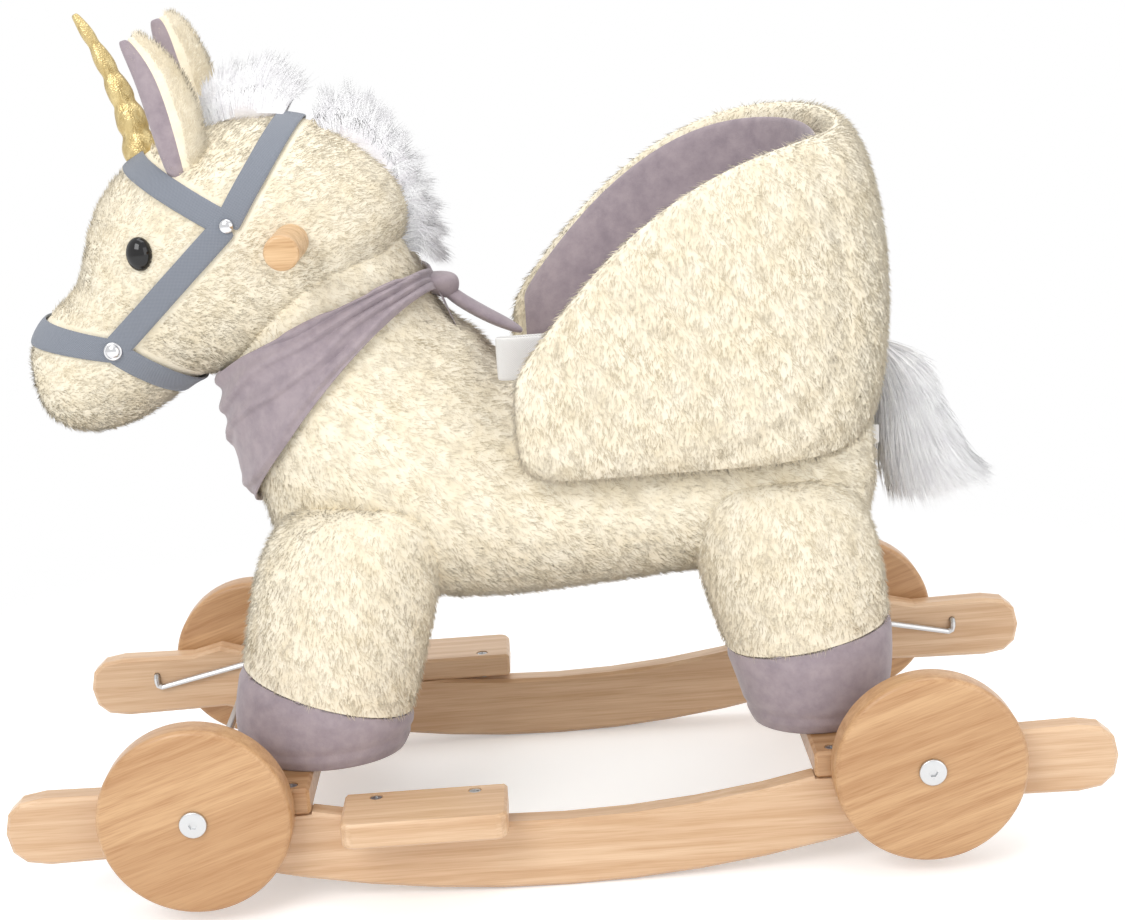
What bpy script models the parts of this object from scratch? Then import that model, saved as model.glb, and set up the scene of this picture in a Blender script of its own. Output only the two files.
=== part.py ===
"""Rocking unicorn with wheels: a ride-on toy, modelled in metres with +Z up.

The toy faces -X and its left side is -Y. The origin is on the floor below the middle of the runners.
The wooden base, the frame inside the toy, the stuffed forms and the trim are separate pieces.
"""

import math

import bmesh
import bpy
from mathutils import Matrix, Vector

# Clearances between pieces
GAP = 0.0003
BORE_CLEARANCE = 0.0002
WHEEL_SIDE_CLEARANCE = 0.0015
SKIN_GAP = 0.0005

# Runners
RUNNER_LENGTH = 0.72
RUNNER_THICKNESS = 0.018
RUNNER_DEPTH = 0.046
RUNNER_OUTER_FACE_Y = 0.142
ROCKING_RADIUS = 0.82
ARC_END_X = 0.258
TIP_BOTTOM_Z = 0.040
TIP_DEPTH = 0.046
TIP_ROUND_LENGTH = 0.026
TIP_BLEND_LENGTH = 0.022
RUNNER_EDGE_ROUND = 0.0025

# Crossbars
CROSSBAR_INNER_X = 0.163
CROSSBAR_WIDTH = 0.060
CROSSBAR_THICKNESS = 0.018
CROSSBAR_SEAT_Z = 0.062
CROSSBAR_EDGE_ROUND = 0.002

# Footrests
FOOTREST_LENGTH = 0.106
FOOTREST_DEPTH = 0.052
FOOTREST_THICKNESS = 0.017
FOOTREST_CENTRE_X = -0.089
FOOTREST_SEAT_Z = 0.0505
FOOTREST_CORNER_ROUND = 0.008
FOOTREST_EDGE_ROUND = 0.002

# Wheels and axles
WHEEL_RADIUS = 0.062
WHEEL_THICKNESS = 0.022
WHEEL_CENTRE_X = 0.2343
WHEEL_CENTRE_Z = 0.072
WHEEL_RIM_ROUND = 0.004
AXLE_RADIUS = 0.003
FLANGE_RADIUS = 0.0088
FLANGE_THICKNESS = 0.0022
SOCKET_RADIUS = 0.0029
SOCKET_DEPTH = 0.0014
NUT_WALL = 0.0017

# Axle stay wires
STAY_WIRE_RADIUS = 0.0022
STAY_HOOK_X = 0.3085
STAY_HOOK_Z = 0.0625
STAY_HOOK_RISE = 0.0085
STAY_HOLE_DEPTH = 0.010
STAY_STAND_OFF = 0.0007
STAY_EYE_START = 340
STAY_EYE_END = 78

# Screws
SCREW_HEAD_RADIUS = 0.0042
SCREW_HEAD_DEPTH = 0.0024
SCREW_SHANK_RADIUS = 0.0018
SCREW_LENGTH = 0.030
SCREW_SLOT_WIDTH = 0.0010
SCREW_SLOT_DEPTH = 0.0009
SCREW_SINK = 0.0006
CROSSBAR_SCREW_INSET = 0.012
FOOTREST_SCREW_INSET = 0.021

# Frame inside the toy
POST_LENGTH_X = 0.020
POST_WIDTH_Y = 0.020
POST_CENTRE_Y = 0.066
FRONT_POST_BOTTOM_X = -0.178
FRONT_POST_TOP_X = -0.132
REAR_POST_BOTTOM_X = 0.180
REAR_POST_TOP_X = 0.152
BOARD_BOTTOM_Z = 0.205
BOARD_THICKNESS = 0.015
BOARD_FRONT_X = -0.168
BOARD_REAR_X = 0.180
BOARD_WIDTH = 0.156
NECK_POST_X = -0.148
NECK_POST_LENGTH_X = 0.036
NECK_POST_WIDTH_Y = 0.018
NECK_POST_RISE = 0.029
HANDLE_Z = 0.423
HANDLE_RADIUS = 0.0112
HANDLE_LENGTH = 0.250
HANDLE_END_ROUND = 0.002

# Stuffed toy
RING_POINTS = 8
LIMB_POINTS = 6
HORN_POINTS = 8
LIMB_CENTRE_Y = 0.072
HOOF_TOP_FRONT_Z = 0.125
HOOF_TOP_FRONT_TILT = math.radians(-20)
HOOF_TOP_REAR_Z = 0.142
HOOF_TOP_REAR_TILT = math.radians(9)
EAR_BASE_Y = 0.045
EAR_THICKNESS = 0.011
EYE_X = -0.246
EYE_Y = 0.0595
EYE_Z = 0.421
EYE_TURN = math.radians(20)
EYE_RADIUS_X = 0.0095
EYE_RADIUS_Z = 0.0118
EYE_DOME = 0.0075
WEBBING_WIDTH = 0.0165
WEBBING_THICKNESS = 0.0019
RIVET_RADIUS = 0.0052
RIVET_HEIGHT = 0.0026

# Scarf: its upper and lower edges at the back and at the front of the neck, in (x, z)
SCARF_BACK = [(-0.068, 0.389), (-0.058, 0.378)]
SCARF_FRONT = [(-0.225, 0.322), (-0.196, 0.234)]
SCARF_HALF_WIDTH = 0.080
SCARF_LIFT = 0.014
SCARF_THICKNESS = 0.0032
SCARF_EASE = 0.0015
SCARF_FOLD = 0.0022

# Seat
SEAT_HALF_WIDTH = 0.128
SEAT_WALL = 0.036
SEAT_BACK_X = 0.244
SEAT_FRONT_X = -0.004
SEAT_BACK_LEAN = 0.022
SEAT_STATIONS = 9
RIM_FRONT_Z = 0.354
RIM_RISE = 0.126
RIM_STEEPNESS = 3.0
SEAT_CORNER = 0.085
SEAT_BOTTOM_Z = 0.262
SEAT_FRONT_ROUND = 0.010
LINING_THICKNESS = 0.005
LINING_TUCK = 0.003
LINING_BOTTOM_Z = 0.308
LINING_BELOW_RIM = 0.010
CUSHION_SIDE_GAP = 0.003
CUSHION_TOP_Z = 0.337
CUSHION_BOTTOM_Z = 0.288
STRAP_WIDTH = 0.028
STRAP_THICKNESS = 0.0022
STRAP_BOTTOM_Z = 0.326
STRAP_FRONT_X = -0.0225
STRAP_REAR_X = 0.040
STRAP_Y = -0.080
STRAP_FOLD_RADIUS = 0.0035

PART = "rocking_unicorn"


def clear_scene():
    for old in list(bpy.data.objects):
        bpy.data.objects.remove(old, do_unlink=True)


def collection(name):
    made = bpy.data.collections.new(name)
    bpy.context.scene.collection.children.link(made)
    return made


clear_scene()
PIECES = collection(PART)
CUTTERS = collection(PART + "_cutters")


def material(name, colour, roughness, metallic=0.0):
    made = bpy.data.materials.new(name)
    made.use_nodes = True
    shader = made.node_tree.nodes["Principled BSDF"]
    shader.inputs["Base Color"].default_value = (*colour, 1.0)
    shader.inputs["Roughness"].default_value = roughness
    shader.inputs["Metallic"].default_value = metallic
    made.diffuse_color = (*colour, 1.0)
    return made


FINISHES = {
    "runner_wood": ((0.74, 0.51, 0.30), 0.55, 0.0),
    "wheel_wood": ((0.69, 0.41, 0.17), 0.50, 0.0),
    "frame_wood": ((0.70, 0.52, 0.33), 0.70, 0.0),
    "handle_wood": ((0.72, 0.42, 0.20), 0.50, 0.0),
    "zinc_steel": ((0.60, 0.60, 0.60), 0.30, 1.0),
    "dark_steel": ((0.10, 0.10, 0.11), 0.40, 1.0),
    "cream_plush": ((0.84, 0.76, 0.60), 0.95, 0.0),
    "lilac_velvet": ((0.39, 0.33, 0.37), 0.85, 0.0),
    "white_fur": ((0.86, 0.86, 0.88), 0.90, 0.0),
    "gold_fabric": ((0.60, 0.42, 0.12), 0.35, 0.9),
    "grey_webbing": ((0.24, 0.26, 0.31), 0.80, 0.0),
    "white_webbing": ((0.85, 0.85, 0.84), 0.80, 0.0),
    "black_eye": ((0.01, 0.01, 0.01), 0.08, 0.0),
    "chrome_rivet": ((0.70, 0.70, 0.70), 0.12, 1.0),
}


def place(name, mesh, finish, where=PIECES):
    made = bpy.data.objects.new(name, mesh)
    where.objects.link(made)
    if finish:
        colour, roughness, metallic = FINISHES[finish]
        made.data.materials.append(material(name + "_" + finish, colour, roughness, metallic))
    return made


def as_cutter(made):
    made.hide_render = True
    made.display_type = "WIRE"
    return made


def mesh_from(bm, name):
    bmesh.ops.recalc_face_normals(bm, faces=bm.faces)
    mesh = bpy.data.meshes.new(name)
    bm.to_mesh(mesh)
    bm.free()
    return mesh


def evaluated_mesh(made):
    bpy.context.view_layer.update()
    graph = bpy.context.evaluated_depsgraph_get()
    return bpy.data.meshes.new_from_object(made.evaluated_get(graph))


def bevel(made, width, segments=2):
    edge = made.modifiers.new("Rounded edges", "BEVEL")
    edge.width = width
    edge.segments = segments
    edge.limit_method = "ANGLE"
    edge.angle_limit = math.radians(40)
    return made


def boolean(made, other, operation):
    step = made.modifiers.new(operation.title(), "BOOLEAN")
    step.operation = operation
    step.object = other
    step.solver = "EXACT"
    return made


def cut(made, *others):
    for other in others:
        boolean(made, other, "DIFFERENCE")
    return made


def settle(made):
    """Turns an object's modifiers into plain mesh, so that a copy of it can cut others."""
    finished = evaluated_mesh(made)
    made.modifiers.clear()
    made.data = finished
    return made


def smooth(made, angle=40):
    made.data.shade_smooth()
    made.data.set_sharp_from_angle(angle=math.radians(angle))
    return made


def box(name, low, high, finish=None, where=PIECES):
    low, high = Vector(low), Vector(high)
    bm = bmesh.new()
    bmesh.ops.create_cube(bm, size=1.0)
    for vertex in bm.verts:
        vertex.co = Vector((vertex.co[k] * (high[k] - low[k]) for k in range(3)))
    made = place(name, mesh_from(bm, name), finish, where)
    made.location = (low + high) / 2
    return made


def cutter_box(name, low, high):
    return as_cutter(box(name, low, high, None, CUTTERS))


AXIS_TURN = {
    "X": Matrix.Rotation(math.radians(90), 4, "Y"),
    "Y": Matrix.Rotation(math.radians(-90), 4, "X"),
    "Z": Matrix.Identity(4),
}


def cylinder(name, radius, length, axis, centre, finish=None, where=PIECES, sides=24):
    bm = bmesh.new()
    bmesh.ops.create_cone(bm, cap_ends=True, segments=sides, radius1=radius, radius2=radius, depth=length)
    bmesh.ops.transform(bm, matrix=AXIS_TURN[axis], verts=bm.verts)
    made = place(name, mesh_from(bm, name), finish, where)
    made.location = centre
    return made


def cutter_cylinder(name, radius, length, axis, centre, sides=24):
    return as_cutter(cylinder(name, radius, length, axis, centre, None, CUTTERS, sides))


def turned(name, profile, axis, centre, finish, steps=32):
    """A profile of (radius, height) points, top to bottom, turned about the named axis."""
    bm = bmesh.new()
    points = [bm.verts.new((radius, 0, height)) for radius, height in profile]
    for first, second in zip(points, points[1:]):
        bm.edges.new((first, second))
    mesh = bpy.data.meshes.new(name)
    bm.to_mesh(mesh)
    bm.free()
    made = place(name, mesh, finish)
    screw = made.modifiers.new("Turned", "SCREW")
    screw.steps = steps
    screw.render_steps = steps
    screw.use_merge_vertices = True
    screw.merge_threshold = 0.00001
    settle(made)
    made.data.transform(AXIS_TURN[axis])
    fix = bmesh.new()
    fix.from_mesh(made.data)
    bmesh.ops.remove_doubles(fix, verts=fix.verts, dist=0.00001)
    bmesh.ops.recalc_face_normals(fix, faces=fix.faces)
    fix.to_mesh(made.data)
    fix.free()
    made.location = centre
    return made


def tube(name, route, radius, finish, resolution=2):
    curve = bpy.data.curves.new(name, "CURVE")
    curve.dimensions = "3D"
    curve.bevel_depth = radius
    curve.bevel_resolution = resolution
    curve.use_fill_caps = True
    spline = curve.splines.new("POLY")
    spline.points.add(len(route) - 1)
    for point, where in zip(spline.points, route):
        point.co = (*where, 1.0)
    drawn = place(name + "_curve", curve, None)
    mesh = evaluated_mesh(drawn)
    bpy.data.objects.remove(drawn, do_unlink=True)
    weld = bmesh.new()
    weld.from_mesh(mesh)
    bmesh.ops.remove_doubles(weld, verts=weld.verts, dist=0.00001)
    weld.to_mesh(mesh)
    weld.free()
    return smooth(place(name, mesh, finish))


def flat_plate(name, outline, thickness, centre_y, finish):
    """An outline of (x, z) points, made as thick as asked about the plane at centre_y."""
    curve = bpy.data.curves.new(name, "CURVE")
    curve.dimensions = "2D"
    curve.fill_mode = "BOTH"
    curve.extrude = thickness / 2
    spline = curve.splines.new("POLY")
    spline.points.add(len(outline) - 1)
    for point, (x, z) in zip(spline.points, outline):
        point.co = (x, z, 0.0, 1.0)
    spline.use_cyclic_u = True
    drawn = place(name + "_curve", curve, None)
    mesh = evaluated_mesh(drawn)
    bpy.data.objects.remove(drawn, do_unlink=True)
    mesh.transform(Matrix.Rotation(math.radians(90), 4, "X"))
    weld = bmesh.new()
    weld.from_mesh(mesh)
    bmesh.ops.remove_doubles(weld, verts=weld.verts, dist=0.00001)
    bmesh.ops.dissolve_limit(weld, angle_limit=0.001, verts=weld.verts, edges=weld.edges)
    bmesh.ops.recalc_face_normals(weld, faces=weld.faces)
    weld.to_mesh(mesh)
    weld.free()
    made = place(name, mesh, finish)
    made.location = (0, centre_y, 0)
    return made


def ring(centre, half_height, half_width, tilt, count=RING_POINTS):
    """Points round an ellipse whose height lies in the XZ plane, turned by tilt from upright."""
    grow = 1.0 / (2.0 / 3.0 + math.cos(2 * math.pi / count) / 3.0)
    up = Vector((math.sin(tilt), 0, math.cos(tilt)))
    side = Vector((0, 1, 0))
    points = []
    for k in range(count):
        turn = 2 * math.pi * k / count
        height = math.cos(turn) * half_height * grow
        width = math.sin(turn) * half_width * grow
        points.append(Vector(centre) + up * height + side * width)
    return points


def loft(name, rings, finish, levels=1, where=PIECES):
    """A closed form through rings of equal counts, its ends closed by a fan, then subdivided."""
    bm = bmesh.new()
    rows = [[bm.verts.new(point) for point in points] for points in rings]
    count = len(rows[0])
    for first, second in zip(rows, rows[1:]):
        for k in range(count):
            bm.faces.new((first[k], first[(k + 1) % count], second[(k + 1) % count], second[k]))
    for row in (rows[0], rows[-1]):
        centre = sum((vertex.co for vertex in row), Vector()) / count
        pole = bm.verts.new(centre)
        for k in range(count):
            bm.faces.new((row[k], row[(k + 1) % count], pole))
    made = place(name, mesh_from(bm, name), finish, where)
    if levels:
        soft = made.modifiers.new("Soft form", "SUBSURF")
        soft.levels = levels
        soft.render_levels = levels
    made.modifiers.new("Flat faces for grown copies", "TRIANGULATE")
    return smooth(settle(made), 60)


def grown_copy(made, name, amount):
    """A cutter with the shape of a form, moved outwards along its normals."""
    copy = as_cutter(place(name, made.data.copy(), None, CUTTERS))
    copy.matrix_world = made.matrix_world
    skin = copy.modifiers.new("Outwards", "DISPLACE")
    skin.strength = amount
    skin.mid_level = 0.0
    return settle(copy)


def side_name(sign):
    return "left" if sign < 0 else "right"


def end_name(sign):
    return "front" if sign < 0 else "rear"


# Wooden base


def runner_outline():
    """Underside arc, level paddle tips with rounded ends, and the upper arc, in (x, z)."""
    arc_steps = 12
    tip_steps = 6
    half = RUNNER_LENGTH / 2
    lower, upper = [], []
    for k in range(arc_steps + 1):
        x = -ARC_END_X + 2 * ARC_END_X * k / arc_steps
        lower.append((x, ROCKING_RADIUS - math.sqrt(ROCKING_RADIUS**2 - x**2)))
        inner = ROCKING_RADIUS - RUNNER_DEPTH
        upper.append((x, ROCKING_RADIUS - math.sqrt(inner**2 - x**2)))
    tip_middle = TIP_BOTTOM_Z + TIP_DEPTH / 2
    flat_end = half - TIP_ROUND_LENGTH
    tip = [(ARC_END_X + TIP_BLEND_LENGTH, TIP_BOTTOM_Z + 0.001)]
    for k in range(tip_steps + 1):
        turn = math.pi * (k / tip_steps - 0.5)
        reach = abs(math.cos(turn)) ** 0.8
        rise = math.copysign(abs(math.sin(turn)) ** 0.8, turn)
        tip.append((flat_end + TIP_ROUND_LENGTH * reach, tip_middle + rise * TIP_DEPTH / 2))
    tip.append((ARC_END_X + TIP_BLEND_LENGTH, TIP_BOTTOM_Z + TIP_DEPTH - 0.001))
    other = [(-x, z) for x, z in reversed(tip)]
    return lower + tip + list(reversed(upper)) + other


def runner_top_z(x):
    inner = ROCKING_RADIUS - RUNNER_DEPTH
    return ROCKING_RADIUS - math.sqrt(inner**2 - x**2)


RUNNER_CENTRE_Y = RUNNER_OUTER_FACE_Y - RUNNER_THICKNESS / 2
RUNNER_INNER_FACE_Y = RUNNER_OUTER_FACE_Y - RUNNER_THICKNESS
CROSSBAR_BOTTOM_Z = CROSSBAR_SEAT_Z + GAP
CROSSBAR_TOP_Z = CROSSBAR_BOTTOM_Z + CROSSBAR_THICKNESS
CROSSBAR_CENTRE_X = CROSSBAR_INNER_X + CROSSBAR_WIDTH / 2
STAY_Y = RUNNER_INNER_FACE_Y - STAY_STAND_OFF - STAY_WIRE_RADIUS


def screw_cutters(name, head_top):
    """The hole that a countersunk screw needs, a little larger than the screw all round."""
    x, y, z = head_top
    loose = BORE_CLEARANCE
    head = cutter_cylinder(
        name + "_head_hole",
        SCREW_HEAD_RADIUS + loose,
        2 * (SCREW_HEAD_DEPTH + loose),
        "Z",
        (x, y, z),
        16,
    )
    shank = cutter_cylinder(
        name + "_shank_hole",
        SCREW_SHANK_RADIUS + loose,
        2 * (SCREW_LENGTH + loose),
        "Z",
        (x, y, z),
        12,
    )
    return [head, shank]


def screw(name, head_top):
    x, y, z = head_top
    head = SCREW_HEAD_RADIUS
    shank = SCREW_SHANK_RADIUS
    profile = [
        (0.0, 0.0),
        (head * 0.9, 0.0),
        (head, -0.0004),
        (head, -SCREW_HEAD_DEPTH * 0.5),
        (shank, -SCREW_HEAD_DEPTH),
        (shank, -SCREW_LENGTH * 0.85),
        (0.0, -SCREW_LENGTH),
    ]
    made = turned(name, profile, "Z", (x, y, z), "zinc_steel", 10)
    depth = SCREW_SLOT_DEPTH
    across, along = SCREW_SLOT_WIDTH / 2, head * 0.62
    slot_x = cutter_box(name + "_slot_x", (x - along, y - across, z - depth), (x + along, y + across, z + depth))
    slot_y = cutter_box(name + "_slot_y", (x - across, y - along, z - depth), (x + across, y + along, z + depth))
    return cut(made, slot_x, slot_y)


CROSSBAR_SCREWS = {}
FOOTREST_SCREWS = {}
FOOTREST_TOP_Z = FOOTREST_SEAT_Z + GAP + FOOTREST_THICKNESS
for end in (-1, 1):
    for side in (-1, 1):
        label = end_name(end) + "_" + side_name(side)
        screw_x = end * (CROSSBAR_INNER_X + CROSSBAR_SCREW_INSET)
        CROSSBAR_SCREWS[label] = (screw_x, side * RUNNER_CENTRE_Y, CROSSBAR_TOP_Z - SCREW_SINK)
        rest_x = FOOTREST_CENTRE_X + end * (FOOTREST_LENGTH / 2 - FOOTREST_SCREW_INSET)
        FOOTREST_SCREWS[label] = (rest_x, side * RUNNER_CENTRE_Y, FOOTREST_TOP_Z - SCREW_SINK)


def build_runner(side):
    name = "runner_" + side_name(side)
    made = flat_plate(name, runner_outline(), RUNNER_THICKNESS, side * RUNNER_CENTRE_Y, "runner_wood")
    settle(bevel(made, RUNNER_EDGE_ROUND, 1))
    out = 0.002
    low_y = side * RUNNER_CENTRE_Y - RUNNER_THICKNESS / 2 - out
    high_y = side * RUNNER_CENTRE_Y + RUNNER_THICKNESS / 2 + out
    for end in (-1, 1):
        near = end * (CROSSBAR_INNER_X - GAP)
        far = end * (CROSSBAR_INNER_X + CROSSBAR_WIDTH + GAP)
        notch = cutter_box(
            name + "_notch_" + end_name(end),
            (min(near, far), low_y, CROSSBAR_SEAT_Z),
            (max(near, far), high_y, CROSSBAR_SEAT_Z + RUNNER_DEPTH),
        )
        axle_hole = cutter_cylinder(
            name + "_axle_hole_" + end_name(end),
            AXLE_RADIUS + BORE_CLEARANCE,
            RUNNER_THICKNESS + 2 * out,
            "Y",
            (end * WHEEL_CENTRE_X, side * RUNNER_CENTRE_Y, WHEEL_CENTRE_Z),
        )
        hook_hole = cutter_cylinder(
            name + "_hook_hole_" + end_name(end),
            STAY_WIRE_RADIUS + BORE_CLEARANCE,
            2 * (STAY_HOLE_DEPTH + GAP),
            "Y",
            (end * STAY_HOOK_X, side * RUNNER_INNER_FACE_Y, STAY_HOOK_Z + STAY_HOOK_RISE),
            16,
        )
        cut(made, notch, axle_hole, hook_hole)
        label = end_name(end) + "_" + side_name(side)
        cut(made, *screw_cutters(name + "_crossbar_" + label, CROSSBAR_SCREWS[label])[1:])
        cut(made, *screw_cutters(name + "_footrest_" + label, FOOTREST_SCREWS[label])[1:])
    flat = cutter_box(
        name + "_footrest_seat",
        (FOOTREST_CENTRE_X - FOOTREST_LENGTH / 2 - GAP, low_y, FOOTREST_SEAT_Z),
        (FOOTREST_CENTRE_X + FOOTREST_LENGTH / 2 + GAP, high_y, FOOTREST_SEAT_Z + RUNNER_DEPTH),
    )
    cut(made, flat)
    return smooth(settle(made), 30)


def build_crossbar(end):
    name = "crossbar_" + end_name(end)
    near = end * CROSSBAR_INNER_X
    far = end * (CROSSBAR_INNER_X + CROSSBAR_WIDTH)
    made = box(
        name,
        (min(near, far), -RUNNER_OUTER_FACE_Y, CROSSBAR_BOTTOM_Z),
        (max(near, far), RUNNER_OUTER_FACE_Y, CROSSBAR_TOP_Z),
        "runner_wood",
    )
    bevel(made, CROSSBAR_EDGE_ROUND, 1)
    for side in (-1, 1):
        label = end_name(end) + "_" + side_name(side)
        cut(made, *screw_cutters(name + "_" + label, CROSSBAR_SCREWS[label]))
    return smooth(settle(made), 30)


def build_footrest(side):
    name = "footrest_" + side_name(side)
    low_z = FOOTREST_SEAT_Z + GAP
    inner = side * RUNNER_INNER_FACE_Y
    outer = side * (RUNNER_INNER_FACE_Y + FOOTREST_DEPTH)
    made = box(
        name,
        (FOOTREST_CENTRE_X - FOOTREST_LENGTH / 2, min(inner, outer), low_z),
        (FOOTREST_CENTRE_X + FOOTREST_LENGTH / 2, max(inner, outer), FOOTREST_TOP_Z),
        "runner_wood",
    )
    corners = bmesh.new()
    corners.from_mesh(made.data)
    upright = [
        edge
        for edge in corners.edges
        if abs(edge.verts[0].co.z - edge.verts[1].co.z) > FOOTREST_THICKNESS / 2
        and edge.verts[0].co.y * side > 0
    ]
    bmesh.ops.bevel(
        corners,
        geom=upright,
        offset=FOOTREST_CORNER_ROUND,
        segments=3,
        profile=0.5,
        affect="EDGES",
    )
    corners.to_mesh(made.data)
    corners.free()
    bevel(made, FOOTREST_EDGE_ROUND, 1)
    for end in (-1, 1):
        label = end_name(end) + "_" + side_name(side)
        cut(made, *screw_cutters(name + "_" + label, FOOTREST_SCREWS[label]))
    return smooth(settle(made), 30)


WHEEL_INNER_Y = RUNNER_OUTER_FACE_Y + WHEEL_SIDE_CLEARANCE
WHEEL_OUTER_Y = WHEEL_INNER_Y + WHEEL_THICKNESS
WHEEL_CENTRE_Y = WHEEL_INNER_Y + WHEEL_THICKNESS / 2


def build_wheel(end, side):
    """A turned disc with rounded rims; its origin is on the axle."""
    name = "wheel_" + end_name(end) + "_" + side_name(side)
    bore = AXLE_RADIUS + BORE_CLEARANCE
    half = WHEEL_THICKNESS / 2
    profile = [(bore, half)]
    steps = 2
    for k in range(steps + 1):
        turn = math.pi / 2 * k / steps
        rim = WHEEL_RADIUS - WHEEL_RIM_ROUND * (1 - math.sin(turn))
        profile.append((rim, half - WHEEL_RIM_ROUND * (1 - math.cos(turn))))
    for k in range(steps + 1):
        turn = math.pi / 2 * k / steps
        rim = WHEEL_RADIUS - WHEEL_RIM_ROUND * (1 - math.cos(turn))
        profile.append((rim, -half + WHEEL_RIM_ROUND * (1 - math.sin(turn))))
    profile.append((bore, -half))
    profile.append((bore, half))
    where = (end * WHEEL_CENTRE_X, side * WHEEL_CENTRE_Y, WHEEL_CENTRE_Z)
    return smooth(turned(name, profile, "Y", where, "wheel_wood", 28), 30)


def flange_profile(length):
    """A low domed flange; the shank, where there is one, runs down from it."""
    top = FLANGE_THICKNESS
    profile = [
        (0.0, top),
        (FLANGE_RADIUS * 0.75, top),
        (FLANGE_RADIUS * 0.94, top * 0.7),
        (FLANGE_RADIUS, top * 0.3),
        (FLANGE_RADIUS, 0.0),
    ]
    if length:
        profile.append((AXLE_RADIUS, 0.0))
        profile.append((AXLE_RADIUS, -length))
        profile.append((0.0, -length))
    else:
        profile.append((0.0, 0.0))
    return profile


def cut_socket(made, where, outward):
    x, y, z = where
    face_y = y + outward * FLANGE_THICKNESS
    socket = cutter_cylinder(made.name + "_socket", SOCKET_RADIUS, 2 * SOCKET_DEPTH, "Y", (x, face_y, z), 6)
    return cut(made, socket)


def build_axle(end):
    """A headed axle rod that runs from the left wheel's face to the cap nut on the right one."""
    name = "axle_" + end_name(end)
    seat = WHEEL_OUTER_Y + GAP
    length = 2 * seat - GAP
    where = (end * WHEEL_CENTRE_X, -seat, WHEEL_CENTRE_Z)
    made = turned(name, flange_profile(length), "Z", (0, 0, 0), "zinc_steel", 16)
    made.data.transform(Matrix.Rotation(math.radians(90), 4, "X"))
    made.location = where
    return smooth(settle(cut_socket(made, where, -1)), 30)


def build_cap_nut(end):
    name = "axle_cap_nut_" + end_name(end)
    where = (end * WHEEL_CENTRE_X, WHEEL_OUTER_Y + GAP, WHEEL_CENTRE_Z)
    made = turned(name, flange_profile(0.0), "Z", (0, 0, 0), "zinc_steel", 16)
    made.data.transform(Matrix.Rotation(math.radians(-90), 4, "X"))
    made.location = where
    return smooth(settle(cut_socket(made, where, 1)), 30)


def build_stay(end, side):
    """A wire with an eye round the axle and a hooked end in the runner's inner face."""
    name = "axle_stay_" + end_name(end) + "_" + side_name(side)
    eye = AXLE_RADIUS + GAP + STAY_WIRE_RADIUS
    route = []
    eye_steps = 11
    for k in range(eye_steps):
        turn = math.radians(STAY_EYE_START + (STAY_EYE_END - STAY_EYE_START) * k / (eye_steps - 1))
        route.append((WHEEL_CENTRE_X + eye * math.cos(turn), WHEEL_CENTRE_Z + eye * math.sin(turn)))
    start = Vector(route[-1])
    bend = Vector((STAY_HOOK_X - 0.0035, STAY_HOOK_Z))
    for k in range(1, 4):
        spot = start.lerp(bend, k / 3)
        route.append((spot.x, spot.y))
    route.append((STAY_HOOK_X - 0.0008, STAY_HOOK_Z + 0.0012))
    route.append((STAY_HOOK_X, STAY_HOOK_Z + 0.0042))
    points = [Vector((end * x, side * STAY_Y, z)) for x, z in route]
    top = STAY_HOOK_Z + STAY_HOOK_RISE
    hook_x = end * STAY_HOOK_X
    points.append(Vector((hook_x, side * STAY_Y, top - STAY_WIRE_RADIUS * 0.7)))
    points.append(Vector((hook_x, side * (STAY_Y + STAY_WIRE_RADIUS * 0.55), top)))
    points.append(Vector((hook_x, side * (RUNNER_INNER_FACE_Y - STAY_STAND_OFF), top)))
    points.append(Vector((hook_x, side * (RUNNER_INNER_FACE_Y + STAY_HOLE_DEPTH - GAP), top)))
    return tube(name, points, STAY_WIRE_RADIUS, "zinc_steel")


def build_base():
    for side in (-1, 1):
        build_runner(side)
        build_footrest(side)
    for end in (-1, 1):
        build_crossbar(end)
        build_axle(end)
        build_cap_nut(end)
        for side in (-1, 1):
            build_wheel(end, side)
            build_stay(end, side)
    for label, top in CROSSBAR_SCREWS.items():
        screw("crossbar_screw_" + label, top)
    for label, top in FOOTREST_SCREWS.items():
        screw("footrest_screw_" + label, top)


# Frame inside the toy

BOARD_TOP_Z = BOARD_BOTTOM_Z + BOARD_THICKNESS
POST_BOTTOM_Z = CROSSBAR_TOP_Z + GAP
POST_TOP_Z = BOARD_BOTTOM_Z - GAP


def leaning_post(name, end, side, grow, finish, where):
    """A post whose ends stay level while its foot and head are at different X."""
    foot_x = FRONT_POST_BOTTOM_X if end < 0 else REAR_POST_BOTTOM_X
    head_x = FRONT_POST_TOP_X if end < 0 else REAR_POST_TOP_X
    bm = bmesh.new()
    bmesh.ops.create_cube(bm, size=1.0)
    slope = (head_x - foot_x) / (POST_TOP_Z - POST_BOTTOM_Z)
    for vertex in bm.verts:
        x, y, z = vertex.co
        height = POST_TOP_Z + grow if z > 0 else POST_BOTTOM_Z - grow
        lean = foot_x + slope * (height - POST_BOTTOM_Z)
        across = side * POST_CENTRE_Y + y * (POST_WIDTH_Y + 2 * grow)
        vertex.co = Vector((lean + x * (POST_LENGTH_X + 2 * grow), across, height))
    return place(name, mesh_from(bm, name), finish, where)


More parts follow.
